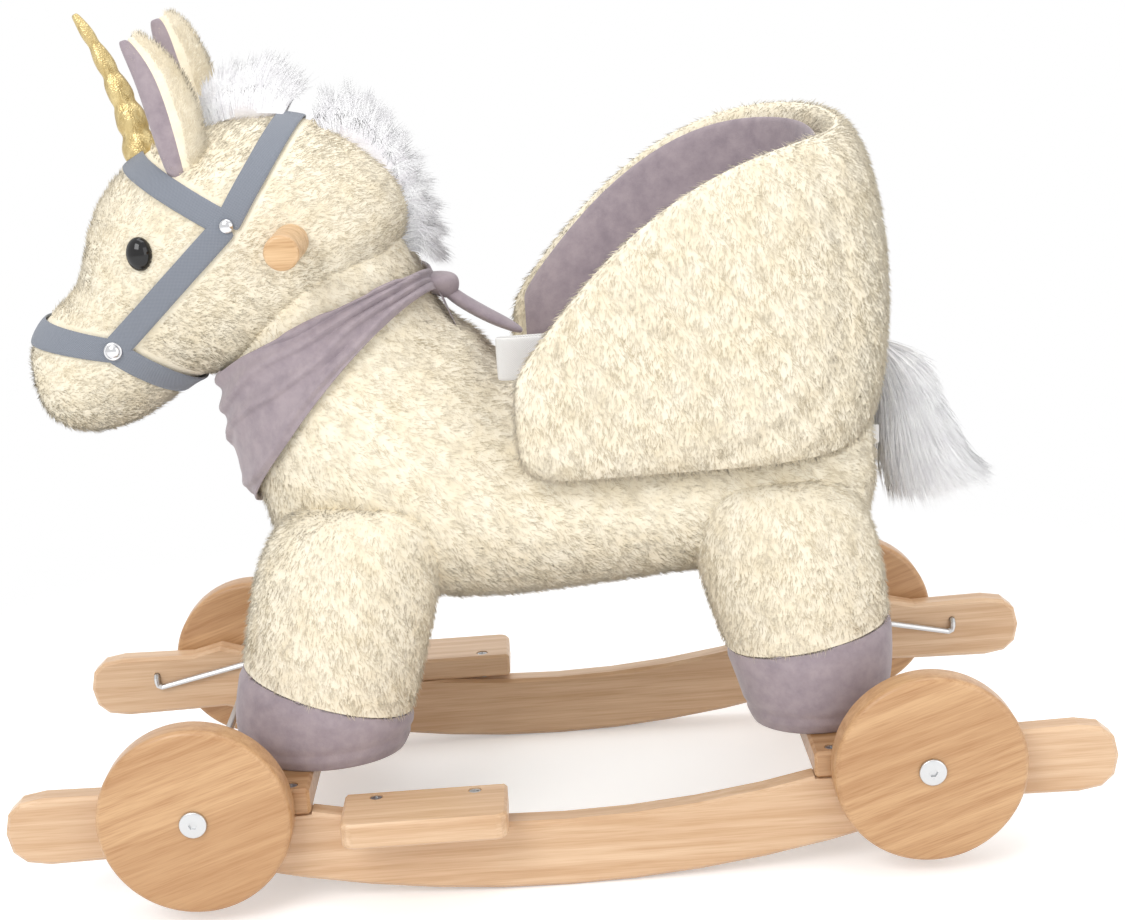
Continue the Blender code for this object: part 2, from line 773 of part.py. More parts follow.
def frame_boxes(grow):
    """The seat board and the neck post as (low, high) corners, grown all round by a clearance."""
    g = Vector((grow, grow, grow))
    board = (
        Vector((BOARD_FRONT_X, -BOARD_WIDTH / 2, BOARD_BOTTOM_Z)) - g,
        Vector((BOARD_REAR_X, BOARD_WIDTH / 2, BOARD_TOP_Z)) + g,
    )
    neck = (
        Vector((NECK_POST_X - NECK_POST_LENGTH_X / 2, -NECK_POST_WIDTH_Y / 2, BOARD_TOP_Z + GAP)) - g,
        Vector((NECK_POST_X + NECK_POST_LENGTH_X / 2, NECK_POST_WIDTH_Y / 2, HANDLE_Z + NECK_POST_RISE)) + g,
    )
    return board, neck


def build_frame():
    """Returns the cutters that make room for the frame in the stuffed forms."""
    room = []
    for end in (-1, 1):
        for side in (-1, 1):
            label = end_name(end) + "_" + side_name(side)
            leaning_post("leg_post_" + label, end, side, 0.0, "frame_wood", PIECES)
            room.append(as_cutter(leaning_post("post_room_" + label, end, side, SKIN_GAP, None, CUTTERS)))
    board, neck = frame_boxes(0.0)
    box("seat_board", *board, "frame_wood")
    post = box("neck_post", *neck, "frame_wood")
    bore = cutter_cylinder(
        "neck_post_bore",
        HANDLE_RADIUS + BORE_CLEARANCE,
        HANDLE_LENGTH,
        "Y",
        (NECK_POST_X, 0, HANDLE_Z),
    )
    settle(cut(post, bore))
    handle = cylinder("handle_bar", HANDLE_RADIUS, HANDLE_LENGTH, "Y", (NECK_POST_X, 0, HANDLE_Z), "handle_wood")
    smooth(settle(bevel(handle, HANDLE_END_ROUND, 1)), 30)
    board_room, neck_room = frame_boxes(SKIN_GAP)
    room.append(cutter_box("board_room", *board_room))
    room.append(cutter_box("neck_room", *neck_room))
    return room


# Stuffed forms


def build_body():
    """Barrel and neck: (x, z, half height, half width, lean of the ring, in degrees)."""
    sections = [
        (0.226, 0.248, 0.034, 0.040, 0),
        (0.216, 0.246, 0.060, 0.070, 0),
        (0.188, 0.243, 0.070, 0.092, 0),
        (0.110, 0.239, 0.066, 0.099, 0),
        (0.015, 0.236, 0.072, 0.100, 2),
        (-0.045, 0.242, 0.085, 0.100, 14),
        (-0.090, 0.262, 0.102, 0.096, 32),
        (-0.122, 0.292, 0.096, 0.088, 52),
        (-0.139, 0.346, 0.078, 0.074, 70),
        (-0.150, 0.388, 0.056, 0.054, 76),
    ]
    rings = []
    for x, z, height, width, lean in sections:
        rings.append(ring((x, 0, z), height, width, math.radians(lean)))
    return loft("body", rings, "cream_plush")


def build_head():
    sections = [
        (-0.334, 0.333, 0.022, 0.026, -8),
        (-0.326, 0.335, 0.038, 0.042, -8),
        (-0.303, 0.339, 0.048, 0.051, -10),
        (-0.276, 0.354, 0.053, 0.052, -22),
        (-0.260, 0.381, 0.062, 0.058, -30),
        (-0.240, 0.401, 0.077, 0.068, -22),
        (-0.205, 0.415, 0.088, 0.075, -4),
        (-0.160, 0.417, 0.090, 0.078, 14),
        (-0.119, 0.406, 0.071, 0.066, 39),
        (-0.101, 0.393, 0.043, 0.045, 46),
    ]
    rings = []
    for x, z, height, width, lean in sections:
        rings.append(ring((x, 0, z), height, width, math.radians(lean)))
    return loft("head", rings, "cream_plush")


FRONT_LIMB = [
    (-0.120, 0.248, 0.052, 0.042),
    (-0.130, 0.212, 0.065, 0.050),
    (-0.143, 0.154, 0.063, 0.051),
    (-0.157, 0.107, 0.062, 0.051),
    (-0.156, 0.085, 0.056, 0.046),
    (-0.154, 0.070, 0.042, 0.036),
]
REAR_LIMB = [
    (0.150, 0.248, 0.052, 0.042),
    (0.156, 0.212, 0.064, 0.050),
    (0.167, 0.154, 0.060, 0.051),
    (0.175, 0.107, 0.052, 0.050),
    (0.173, 0.085, 0.045, 0.043),
    (0.172, 0.070, 0.034, 0.032),
]
HOOF_TOP_FRONT_X = -0.150
HOOF_TOP_REAR_X = 0.173


def limb_form(name, sections, side, finish, where=PIECES):
    rings = []
    for x, z, length, width in sections:
        upright = ring((x, side * LIMB_CENTRE_Y, z), length, width, math.radians(90), LIMB_POINTS)
        rings.append(upright)
    return loft(name, rings, finish, 1, where)


def slanted_box(name, x, z, tilt, above):
    """A cutter that fills one side of a slanted plane through (x, z)."""
    size = 0.5
    bm = bmesh.new()
    bmesh.ops.create_cube(bm, size=size)
    shift = size / 2 if above else -size / 2
    bmesh.ops.translate(bm, verts=bm.verts, vec=(0, 0, shift))
    made = place(name, mesh_from(bm, name), None, CUTTERS)
    made.location = (x, 0, z)
    made.rotation_euler = (0, -tilt, 0)
    return as_cutter(made)


def build_limbs(body_room, frame_room):
    floor_z = CROSSBAR_TOP_Z + GAP
    ground = cutter_box("hoof_ground", (-0.4, -0.3, -0.1), (0.4, 0.3, floor_z))
    for end in (-1, 1):
        sections = FRONT_LIMB if end < 0 else REAR_LIMB
        x = HOOF_TOP_FRONT_X if end < 0 else HOOF_TOP_REAR_X
        z = HOOF_TOP_FRONT_Z if end < 0 else HOOF_TOP_REAR_Z
        tilt = HOOF_TOP_FRONT_TILT if end < 0 else HOOF_TOP_REAR_TILT
        above = slanted_box("above_hoof_" + end_name(end), x, z - GAP / 2, tilt, True)
        below = slanted_box("below_hoof_" + end_name(end), x, z + GAP / 2, tilt, False)
        for side in (-1, 1):
            label = end_name(end) + "_" + side_name(side)
            posts = [item for item in frame_room if item.name == "post_room_" + label]
            leg = limb_form("leg_" + label, sections, side, "cream_plush")
            cut(leg, below, body_room, *posts)
            board = [item for item in frame_room if item.name == "board_room"]
            cut(leg, *board)
            settle(leg)
            hoof = limb_form("hoof_" + label, sections, side, "lilac_velvet")
            cut(hoof, above, ground, *posts)
            settle(hoof)


def ear_form(side):
    """A leaf-shaped ear: (x, z, half length across, half thickness), from the base to the tip."""
    name = "ear_" + side_name(side)
    if side < 0:
        sections = [
            (-0.212, 0.468, 0.012, 0.008),
            (-0.216, 0.500, 0.018, 0.010),
            (-0.224, 0.530, 0.015, 0.008),
            (-0.233, 0.547, 0.010, 0.006),
            (-0.239, 0.556, 0.005, 0.004),
        ]
    else:
        sections = [
            (-0.211, 0.480, 0.012, 0.008),
            (-0.218, 0.518, 0.018, 0.010),
            (-0.224, 0.545, 0.015, 0.009),
            (-0.228, 0.560, 0.011, 0.007),
            (-0.231, 0.567, 0.006, 0.005),
        ]
    rings = []
    for k, (x, z, across, thick) in enumerate(sections):
        y = side * (EAR_BASE_Y - 0.0015 * k)
        rings.append(ring((x, y, z), across, thick, math.radians(75), 6))
    return loft(name, rings, "cream_plush")


def build_horn():
    """Five puffed segments along a curved line from the brow to the tip."""
    base, bend, tip = Vector((-0.248, 0.474)), Vector((-0.254, 0.522)), Vector((-0.2825, 0.572))
    segments = 5
    per_segment = 3
    total = segments * per_segment
    rings = []
    for k in range(total + 1):
        t = k / total
        spot = base * (1 - t) ** 2 + bend * (2 * t * (1 - t)) + tip * t**2
        lead = (bend - base) * (1 - t) + (tip - bend) * t
        tilt = math.atan2(lead.y, lead.x) - math.radians(90)
        swell = 0.86 + 0.14 * math.sin(math.pi * (k % per_segment) / per_segment)
        radius = (0.0125 * (1 - t) + 0.0028 * t) * swell
        rings.append(ring((spot.x, 0, spot.y), radius, radius, math.radians(90) - tilt, HORN_POINTS))
    return loft("horn", rings, "gold_fabric", 0)


def build_tufts():
    """Long-haired pieces as swelling, tapering forms along their partings."""
    lists = {
        "forelock": [
            (-0.205, 0.502, 0.008, 0.010, 45),
            (-0.197, 0.509, 0.019, 0.022, 30),
            (-0.182, 0.513, 0.023, 0.028, 5),
            (-0.166, 0.513, 0.022, 0.026, -8),
            (-0.154, 0.510, 0.012, 0.014, -15),
        ],
        "mane": [
            (-0.125, 0.496, 0.010, 0.012, 20),
            (-0.117, 0.494, 0.021, 0.020, 25),
            (-0.100, 0.484, 0.028, 0.026, 44),
            (-0.082, 0.456, 0.028, 0.026, 62),
            (-0.072, 0.424, 0.021, 0.021, 77),
            (-0.069, 0.404, 0.012, 0.012, 85),
        ],
        "tail": [
            (0.236, 0.312, 0.012, 0.014, 35),
            (0.246, 0.308, 0.020, 0.020, 40),
            (0.260, 0.276, 0.025, 0.025, 69),
            (0.265, 0.236, 0.034, 0.034, 60),
            (0.275, 0.216, 0.036, 0.034, 48),
            (0.290, 0.206, 0.018, 0.018, 45),
        ],
    }
    made = {}
    for name, sections in lists.items():
        rings = []
        for x, z, height, width, lean in sections:
            rings.append(ring((x, 0, z), height, width, math.radians(lean), 6))
        made[name] = loft(name, rings, "white_fur")
    return made


def build_eye(side, head_room):
    name = "eye_" + side_name(side)
    bm = bmesh.new()
    bmesh.ops.create_uvsphere(bm, u_segments=14, v_segments=8, radius=1.0)
    made = place(name, mesh_from(bm, name), "black_eye")
    made.location = (EYE_X, side * EYE_Y, EYE_Z)
    made.data.transform(Matrix.Diagonal((EYE_RADIUS_X, EYE_DOME, EYE_RADIUS_Z, 1.0)))
    made.data.transform(Matrix.Rotation(side * EYE_TURN, 4, "Z"))
    cut(made, head_room)
    return smooth(settle(made), 30)


STRAP_LINES = {
    "brow": ((-0.272, 0.487), (-0.187, 0.436)),
    "crown": ((-0.187, 0.436), (-0.137, 0.514)),
    "cheek": ((-0.187, 0.436), (-0.272, 0.358)),
    "nose": ((-0.272, 0.358), (-0.345, 0.370)),
    "chin": ((-0.272, 0.358), (-0.226, 0.322)),
}
CHEEK_RIVET = (-0.187, 0.436)


def strap_slab(name, start, finish_point):
    """A slab as wide as the webbing, in the side view along one strap's line."""
    start, stop = Vector(start), Vector(finish_point)
    along = stop - start
    bm = bmesh.new()
    bmesh.ops.create_cube(bm, size=1.0)
    length = along.length + WEBBING_WIDTH * 0.7
    for vertex in bm.verts:
        x, y, z = vertex.co
        vertex.co = Vector((x * length, y * 0.4, z * WEBBING_WIDTH))
    made = place(name, mesh_from(bm, name), None, CUTTERS)
    middle = (start + stop) / 2
    made.location = (middle.x, 0, middle.y)
    made.rotation_euler = (0, -math.atan2(along.y, along.x), 0)
    return as_cutter(made)


def build_bridle(head, rooms):
    inner = grown_copy(head, "bridle_inner", SKIN_GAP)
    outer = grown_copy(head, "bridle_outer", SKIN_GAP + WEBBING_THICKNESS)
    slabs = [strap_slab("strap_" + name, *line) for name, line in STRAP_LINES.items()]
    net = slabs[0]
    for slab in slabs[1:]:
        boolean(net, slab, "UNION")
    settle(net)
    made = place("bridle", outer.data.copy(), "grey_webbing")
    boolean(made, net, "INTERSECT")
    cut(made, inner, *rooms)
    settle(made)
    return made


def build_rivet(side, skin):
    x, z = CHEEK_RIVET
    name = "bridle_rivet_" + side_name(side)
    bm = bmesh.new()
    bmesh.ops.create_uvsphere(bm, u_segments=10, v_segments=6, radius=1.0)
    made = place(name, mesh_from(bm, name), "chrome_rivet")
    made.data.transform(Matrix.Diagonal((RIVET_RADIUS, RIVET_HEIGHT * 2, RIVET_RADIUS, 1.0)))
    surface_y = skin_y(skin, x, z, side)
    made.location = (x, surface_y, z)
    cut(made, skin)
    return smooth(settle(made), 30)


def skin_y(form, x, z, side):
    """Where a line along Y meets a form from outside, on the asked side."""
    start = Vector((x, side * 0.3, z))
    hit, spot, normal, face = form.ray_cast(start, Vector((0, -side, 0)))
    return spot.y


def build_scarf(body_form, rooms):
    """A kerchief round the neck, laid on the body with its folds and longer at the front."""
    columns = 14
    rows = 4
    bm = bmesh.new()
    grid = []
    for k in range(columns):
        turn = 2 * math.pi * k / columns
        front = (1 - math.cos(turn)) / 2
        column = []
        for j in range(rows):
            t = j / (rows - 1)
            back_edge = Vector(SCARF_BACK[0]).lerp(Vector(SCARF_BACK[1]), t)
            front_edge = Vector(SCARF_FRONT[0]).lerp(Vector(SCARF_FRONT[1]), t)
            middle = (back_edge + front_edge) / 2
            reach = (back_edge - front_edge) / 2
            lift = (SCARF_LIFT * (1 + t)) * abs(math.sin(turn))
            centre = Vector((middle.x, 0, middle.y + lift))
            outward = Vector((reach.x, 0, reach.y)) * math.cos(turn)
            outward.y = SCARF_HALF_WIDTH * math.sin(turn)
            hit, spot, normal, face = body_form.ray_cast(centre + outward * 3, -outward)
            wave = SCARF_FOLD * math.sin(5 * math.pi * t + 3 * turn) * (0.35 + 0.65 * front)
            column.append(bm.verts.new(spot + outward.normalized() * (SCARF_EASE + SCARF_FOLD + wave)))
        grid.append(column)
    for k in range(columns):
        nxt = (k + 1) % columns
        for j in range(rows - 1):
            bm.faces.new((grid[k][j], grid[nxt][j], grid[nxt][j + 1], grid[k][j + 1]))
    made = place("scarf", mesh_from(bm, "scarf"), "lilac_velvet")
    wall = made.modifiers.new("Cloth", "SOLIDIFY")
    wall.thickness = SCARF_THICKNESS
    wall.offset = 1.0
    boolean(made, build_knot(), "UNION")
    cut(made, *rooms)
    return smooth(settle(made), 60)


def build_knot():
    """The knot at the back of the neck and the long tie end that hangs from it."""
    sections = [
        (-0.0720, 0.384, 0.008, 0.010, 80),
        (-0.0630, 0.382, 0.014, 0.016, 72),
        (-0.0540, 0.374, 0.010, 0.011, 60),
        (-0.0490, 0.367, 0.005, 0.008, 35),
        (-0.0250, 0.352, 0.0055, 0.011, 27),
        (-0.0090, 0.344, 0.003, 0.008, 20),
    ]
    rings = []
    for x, z, height, width, lean in sections:
        rings.append(ring((x, 0, z), height, width, math.radians(lean), 6))
    return as_cutter(loft("scarf_knot", rings, None, 1, CUTTERS))


# Seat


def seat_path(inset, steps=SEAT_STATIONS):
    """Plan points round the U of the seat, from the left front end to the right one."""
    half = SEAT_HALF_WIDTH - inset
    back = SEAT_BACK_X - inset
    corner = SEAT_CORNER - inset * 0.6
    straight = back - corner - SEAT_FRONT_X
    arc = corner * math.pi / 2
    middle = 2 * (half - corner)
    total = 2 * straight + 2 * arc + middle
    points = []
    for k in range(steps):
        s = total * k / (steps - 1)
        mirrored = s > total / 2
        s = total - s if mirrored else s
        if s < straight:
            x, y = SEAT_FRONT_X + s, -half
        elif s < straight + arc:
            turn = (s - straight) / corner
            x = back - corner + corner * math.sin(turn)
            y = -(half - corner) - corner * math.cos(turn)
        else:
            x, y = back, -(half - corner) + (s - straight - arc)
        points.append(Vector((x, -y if mirrored else y)))
    return points


def rim_z(x):
    """Height of the seat's rim over X: it rises steeply at the front and flattens at the back."""
    t = (x - SEAT_FRONT_X) / (SEAT_BACK_X - SEAT_FRONT_X)
    t = min(max(t, 0.0), 1.0)
    return RIM_FRONT_Z + RIM_RISE * (1 - (1 - t) ** RIM_STEEPNESS)


SHELL_SECTION = [
    (0.0, 0.08),
    (-0.04, 0.5),
    (0.06, 0.93),
    (0.5, 1.06),
    (1.0, 0.92),
    (1.0, 0.5),
    (1.0, 0.08),
    (0.5, -0.03),
]
LINING_SECTION = [(0.0, 0.05), (0.0, 0.95), (0.5, 1.0), (1.0, 0.95), (1.0, 0.05), (0.5, 0.0)]


def wall_sections(outer_inset, inner_inset, bottom, drop, section):
    """Rings across the wall at each station of the path, from (across, up) shares of the wall."""
    outer = seat_path(outer_inset)
    inner = seat_path(inner_inset)
    rings = []
    for a, b in zip(outer, inner):
        top = rim_z((a.x + b.x) / 2) - drop
        low = bottom
        points = []
        backward = (a.x - SEAT_FRONT_X) / (SEAT_BACK_X - SEAT_FRONT_X)
        for u, v in section:
            spot = a.lerp(b, u)
            lean = SEAT_BACK_LEAN * backward**2 * max(0.0, 0.6 - v)
            points.append(Vector((spot.x - lean, spot.y, low + (top - low) * v)))
        rings.append(points)
    return rings


def end_rings(rings, reach):
    """Adds a smaller ring past each end, so that the wall's front edges are rounded."""
    finished = []
    for row in (rings[0], rings[-1]):
        centre = sum(row, Vector()) / len(row)
        small = [centre + (point - centre) * 0.62 + Vector((-reach, 0, 0)) for point in row]
        finished.append(small)
    return [finished[0]] + rings + [finished[1]]


def build_seat(body_room):
    shell_rings = end_rings(
        wall_sections(0.0, SEAT_WALL, SEAT_BOTTOM_Z, 0.0, SHELL_SECTION), SEAT_FRONT_ROUND
    )
    shell = loft("seat_shell", shell_rings, "cream_plush")
    cut(shell, body_room)
    settle(shell)
    shell_form = as_cutter(loft("seat_shell_form", shell_rings, None, 1, CUTTERS))
    shell_room = grown_copy(shell_form, "seat_shell_room", GAP)
    lining_inner = SEAT_WALL + LINING_THICKNESS
    lining_rings = wall_sections(
        SEAT_WALL - LINING_TUCK, lining_inner, LINING_BOTTOM_Z, LINING_BELOW_RIM, LINING_SECTION
    )
    lining = loft("seat_lining", lining_rings, "lilac_velvet")
    cut(lining, shell_room, body_room)
    settle(lining)
    return lining, shell_room


def build_cushion(body_room, shell_room):
    """A crowned pad on the toy's back, drawn in at its sides."""
    inset = SEAT_WALL + LINING_THICKNESS + CUSHION_SIDE_GAP
    outline = seat_path(inset)
    front = [Vector((SEAT_FRONT_X + 0.004, y)) for y in (0.04, -0.04)]
    plan = outline + front
    centre = sum(plan, Vector((0, 0))) / len(plan)
    middle = (CUSHION_TOP_Z + CUSHION_BOTTOM_Z) / 2
    levels = [
        (0.45, CUSHION_BOTTOM_Z),
        (0.90, CUSHION_BOTTOM_Z),
        (1.0, middle),
        (0.90, CUSHION_TOP_Z - 0.003),
        (0.45, CUSHION_TOP_Z + 0.002),
    ]
    rings = []
    for share, z in levels:
        points = [centre + (spot - centre) * share for spot in plan]
        rings.append([Vector((spot.x, spot.y, z)) for spot in points])
    made = loft("seat_cushion", rings, "lilac_velvet")
    cut(made, body_room, shell_room)
    return smooth(settle(made), 60)


def build_strap(rooms):
    """White webbing at the left of the seat's front, folded back on itself at its front end."""
    fold_steps = 4
    radius = STRAP_FOLD_RADIUS
    path = [Vector((STRAP_REAR_X, STRAP_Y - radius))]
    for k in range(fold_steps + 1):
        turn = math.pi * k / fold_steps
        x = STRAP_FRONT_X + radius - radius * math.sin(turn)
        path.append(Vector((x, STRAP_Y - radius * math.cos(turn))))
    path.append(Vector((STRAP_REAR_X, STRAP_Y + radius)))
    bm = bmesh.new()
    low = [bm.verts.new((spot.x, spot.y, STRAP_BOTTOM_Z)) for spot in path]
    high = [bm.verts.new((spot.x, spot.y, STRAP_BOTTOM_Z + STRAP_WIDTH)) for spot in path]
    for k in range(len(path) - 1):
        bm.faces.new((low[k], low[k + 1], high[k + 1], high[k]))
    made = place("lap_strap", mesh_from(bm, "lap_strap"), "white_webbing")
    wall = made.modifiers.new("Webbing", "SOLIDIFY")
    wall.thickness = STRAP_THICKNESS
    wall.offset = 0.0
    cut(made, *rooms)
    return settle(made)


def build_toy(frame_room):
    body = build_body()
    body_room = grown_copy(body, "body_room", GAP)
    body_form = as_cutter(place("body_form", body.data.copy(), None, CUTTERS))
    head = build_head()
    hair = build_tufts()
    ears = [ear_form(side) for side in (-1, 1)]
    horn = build_horn()
    handle_room = cutter_cylinder(
        "handle_room", HANDLE_RADIUS + SKIN_GAP, HANDLE_LENGTH + 0.02, "Y", (NECK_POST_X, 0, HANDLE_Z)
    )
    neck_room = [item for item in frame_room if item.name == "neck_room"]
    head_form = as_cutter(place("head_form", head.data.copy(), None, CUTTERS))
    settle(cut(head, body_room, handle_room, *neck_room))
    settle(cut(body, *frame_room))
    head_room = grown_copy(head_form, "head_room", GAP)
    for piece in [horn] + ears:
        settle(cut(piece, head_room))
    bridle = build_bridle(head_form, [grown_copy(piece, piece.name + "_room", GAP) for piece in [horn] + ears])
    bridle_room = grown_copy(bridle, "bridle_room", GAP)
    for name in ("forelock", "mane"):
        settle(cut(hair[name], head_room, body_room, bridle_room))
    mane_room = grown_copy(hair["mane"], "mane_room", GAP)
    build_scarf(body_form, [body_room, head_room, bridle_room, mane_room])
    build_limbs(body_room, frame_room)
    lining, shell_room = build_seat(body_room)
    lining_room = grown_copy(lining, "lining_room", GAP)
    cushion = build_cushion(body_room, lining_room)
    cushion_room = grown_copy(cushion, "cushion_room", GAP)
    build_strap([shell_room, lining_room, body_room, cushion_room])
    settle(cut(hair["tail"], body_room, shell_room))
    eye_skin = grown_copy(head_form, "eye_skin", GAP)
    rivet_skin = grown_copy(head_form, "rivet_skin", SKIN_GAP + WEBBING_THICKNESS + GAP)
    for side in (-1, 1):
        build_eye(side, eye_skin)
        build_rivet(side, rivet_skin)


build_base()
build_toy(build_frame())
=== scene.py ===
# %% [markdown]
# # A rocking unicorn with wheels
#
# The toy stands on two bowed wooden runners with four small wheels at their sides.
# Its frame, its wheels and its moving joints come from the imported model.
# This lesson dresses that model: plush, velvet, long fur, webbing, lacquered wood and zinc-plated steel.
# Every cell adds one piece or one finish, so it can be read from top to bottom.

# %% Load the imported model
import math

import bmesh
import bpy
import numpy
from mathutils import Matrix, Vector, noise
from mathutils.bvhtree import BVHTree


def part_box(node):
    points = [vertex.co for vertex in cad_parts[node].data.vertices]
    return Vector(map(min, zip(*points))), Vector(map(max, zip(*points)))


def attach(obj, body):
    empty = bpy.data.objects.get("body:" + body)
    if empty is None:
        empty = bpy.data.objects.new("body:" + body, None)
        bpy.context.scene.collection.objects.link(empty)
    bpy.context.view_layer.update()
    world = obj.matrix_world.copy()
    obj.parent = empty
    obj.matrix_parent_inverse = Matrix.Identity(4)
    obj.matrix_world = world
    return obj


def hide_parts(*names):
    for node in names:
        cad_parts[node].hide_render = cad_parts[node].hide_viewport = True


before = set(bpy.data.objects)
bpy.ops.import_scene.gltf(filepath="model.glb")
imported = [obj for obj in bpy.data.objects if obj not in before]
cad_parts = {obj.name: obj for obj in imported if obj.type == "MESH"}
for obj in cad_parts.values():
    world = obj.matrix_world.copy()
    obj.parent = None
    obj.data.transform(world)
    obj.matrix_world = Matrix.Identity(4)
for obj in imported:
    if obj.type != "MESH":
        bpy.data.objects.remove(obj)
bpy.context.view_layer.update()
TOY = "toy"

# %% [markdown]
# ## The camera
#
# The picture was taken from the toy's left, a little above it, with the camera rolled by four degrees.
# The position and the angles were worked out from the wheels, the runners and the footrests.
# The three axes of the camera are built by hand: right, up and away from the view.

# %% Camera
CAMERA_PLACE = (0.00762, -1.32307, 0.57815)
YAW, PITCH, ROLL = math.radians(0.3237), math.radians(13.9078), math.radians(-3.9483)
LENS_MM, SENSOR_MM = 63.062, 36.0
level_view = Vector((math.sin(YAW), math.cos(YAW), 0))
level_right = Vector((math.cos(YAW), -math.sin(YAW), 0))
upright = Vector((0, 0, 1))
view_line = level_view * math.cos(PITCH) - upright * math.sin(PITCH)
tipped_up = upright * math.cos(PITCH) + level_view * math.sin(PITCH)
right = level_right * math.cos(ROLL) + tipped_up * math.sin(ROLL)
up = tipped_up * math.cos(ROLL) - level_right * math.sin(ROLL)

bpy.ops.object.select_all(action="DESELECT")
bpy.ops.object.camera_add(location=CAMERA_PLACE)
camera = bpy.context.object
camera.data.lens = LENS_MM
camera.data.sensor_width = SENSOR_MM
turned = camera.matrix_world.copy()
for row in range(3):
    turned[row][0], turned[row][1], turned[row][2] = right[row], up[row], -view_line[row]
camera.matrix_world = turned
bpy.context.scene.camera = camera
print("camera lens:", camera.data.lens, "mm")

# %% [markdown]
# ## Colours and nodes
#
# A colour picker gives sRGB values, and a shader wants linear ones, so one function turns them over.
# One small function adds a node, gives it its settings and joins what is passed to its sockets.
# A node that is passed stands for its first output.

# %% Colour and node helpers
def linear(code):
    values = []
    for k in (1, 3, 5):
        share = int(code[k : k + 2], 16) / 255
        values.append(share / 12.92 if share <= 0.04045 else ((share + 0.055) / 1.055) ** 2.4)
    return (*values, 1.0)


def feed(node, sockets):
    """Joins each named socket to a node or an output, or sets it to a value."""
    for key, value in sockets.items():
        if isinstance(value, bpy.types.Node):
            value = value.outputs[0]
        if isinstance(value, bpy.types.NodeSocket):
            node.id_data.links.new(value, node.inputs[key])
        else:
            node.inputs[key].default_value = value


def add(tree, kind, sockets=None, **settings):
    made = tree.nodes.new("ShaderNode" + kind)
    for key, value in settings.items():
        setattr(made, key, value)
    feed(made, sockets or {})
    return made


def new_finish(name, colour, roughness, metallic=0.0):
    made = bpy.data.materials.new(name)
    made.use_nodes = True
    shader = made.node_tree.nodes["Principled BSDF"]
    feed(shader, {"Base Color": linear(colour), "Roughness": roughness, "Metallic": metallic})
    return made, made.node_tree, shader


def per_mm(*sizes):
    """The scale that makes one unit of a pattern as large as each size, in millimetres."""
    return tuple(1000.0 / size for size in sizes)


print("mid grey in linear light:", linear("#808080"))

# %% [markdown]
# ## Lacquered wood
#
# The runners, crossbars and footrests are a pale, close-grained hardwood such as beech under clear lacquer.
# Its growth rings run along the board, so the pattern is stretched 30 times longer than it is wide.
# The wheels and the dowel are a warmer wood with stronger rings, glued up from narrow boards.
# Lacquer gives the eye a soft highlight over the colour, so a thin coat lies over a duller base.

# %% Wood finishes
# The pores of real beech are far finer. They are drawn this coarse so that they show.
PORE_MM = 0.9


def wood(name, pale, dark, ring_mm, length_mm, lean=0.0, boards_mm=0.0, contrast=1.0):
    made, tree, shader = new_finish(name, pale, 0.42)
    where = add(tree, "TexCoord").outputs["Object"]
    turned_to = add(tree, "Mapping", {"Vector": where, "Rotation": (0, lean, 0)})
    grain = add(tree, "Mapping", {"Vector": turned_to, "Scale": per_mm(length_mm, ring_mm, ring_mm)})
    wander = add(tree, "TexNoise", {"Vector": grain, "Scale": 0.5, "Detail": 3.0}).outputs["Color"]
    moved = add(tree, "VectorMath", {0: grain, 1: wander}, operation="ADD")
    rings = add(tree, "TexNoise", {"Vector": moved, "Scale": 1.0, "Detail": 4.0, "Roughness": 0.6})
    share = add(tree, "MapRange", {0: rings, 1: 0.36, 2: 0.68, 3: 0.0, 4: contrast})
    fine = add(tree, "Mapping", {"Vector": turned_to, "Scale": per_mm(length_mm / 6, PORE_MM, PORE_MM)})
    pores = add(tree, "TexNoise", {"Vector": fine, "Scale": 1.0, "Detail": 2.0})
    pore_share = add(tree, "MapRange", {0: pores, 1: 0.45, 2: 0.75, 3: 0.0, 4: 0.45})
    darker = add(tree, "Math", {0: share, 1: pore_share}, operation="ADD", use_clamp=True)
    result = add(tree, "Mix", {0: darker, 6: linear(pale), 7: linear(dark)}, data_type="RGBA").outputs[2]
    if boards_mm:
        height = add(tree, "SeparateXYZ", {0: turned_to}).outputs["Z"]
        count = add(tree, "Math", {0: height, 1: 1000.0 / boards_mm}, operation="MULTIPLY")
        board = add(tree, "Math", {0: count}, operation="FLOOR")
        tone = add(tree, "TexWhiteNoise", {"W": board}, noise_dimensions="1D").outputs["Value"]
        amount = add(tree, "Math", {0: tone, 1: 0.45}, operation="MULTIPLY")
        result = add(tree, "Mix", {0: amount, 6: result, 7: linear(dark)}, data_type="RGBA").outputs[2]
    relief = add(tree, "Bump", {"Height": pores, "Strength": 0.12, "Distance": 0.0003})
    feed(shader, {"Base Color": result, "Normal": relief, "Coat Weight": 0.25, "Coat Roughness": 0.25})
    return made


beech = wood("lacquered_beech", "#DFBF9D", "#C7A07A", 7.0, 210.0)
# The crossbars are the same beech in darker colours: painted shade, for the shade they lie in under the body.
shaded_beech = wood("lacquered_beech_painted_shade", "#C9A179", "#A87C52", 7.0, 210.0)
wheel_wood = wood("lacquered_pine_boards", "#CFA67A", "#AD7F53", 5.0, 130.0, 0.32, 36.0, 0.75)
dowel_wood = wood("lacquered_dowel", "#E0BC90", "#BC9264", 6.0, 160.0)
frame_wood = wood("sawn_pine", "#D8BC92", "#B8915F", 6.0, 180.0)
print("wood finishes:", 5)

# %% [markdown]
# ## Metals and the eyes
#
# The axles, their caps, the wires and the screws are steel with a bright zinc plate.
# The plate leaves a cloudy, slightly uneven polish, which a noise in the roughness gives.
# The rivets are nickel-chrome, much smoother, and mirror the room. The eyes are polished black acrylic.

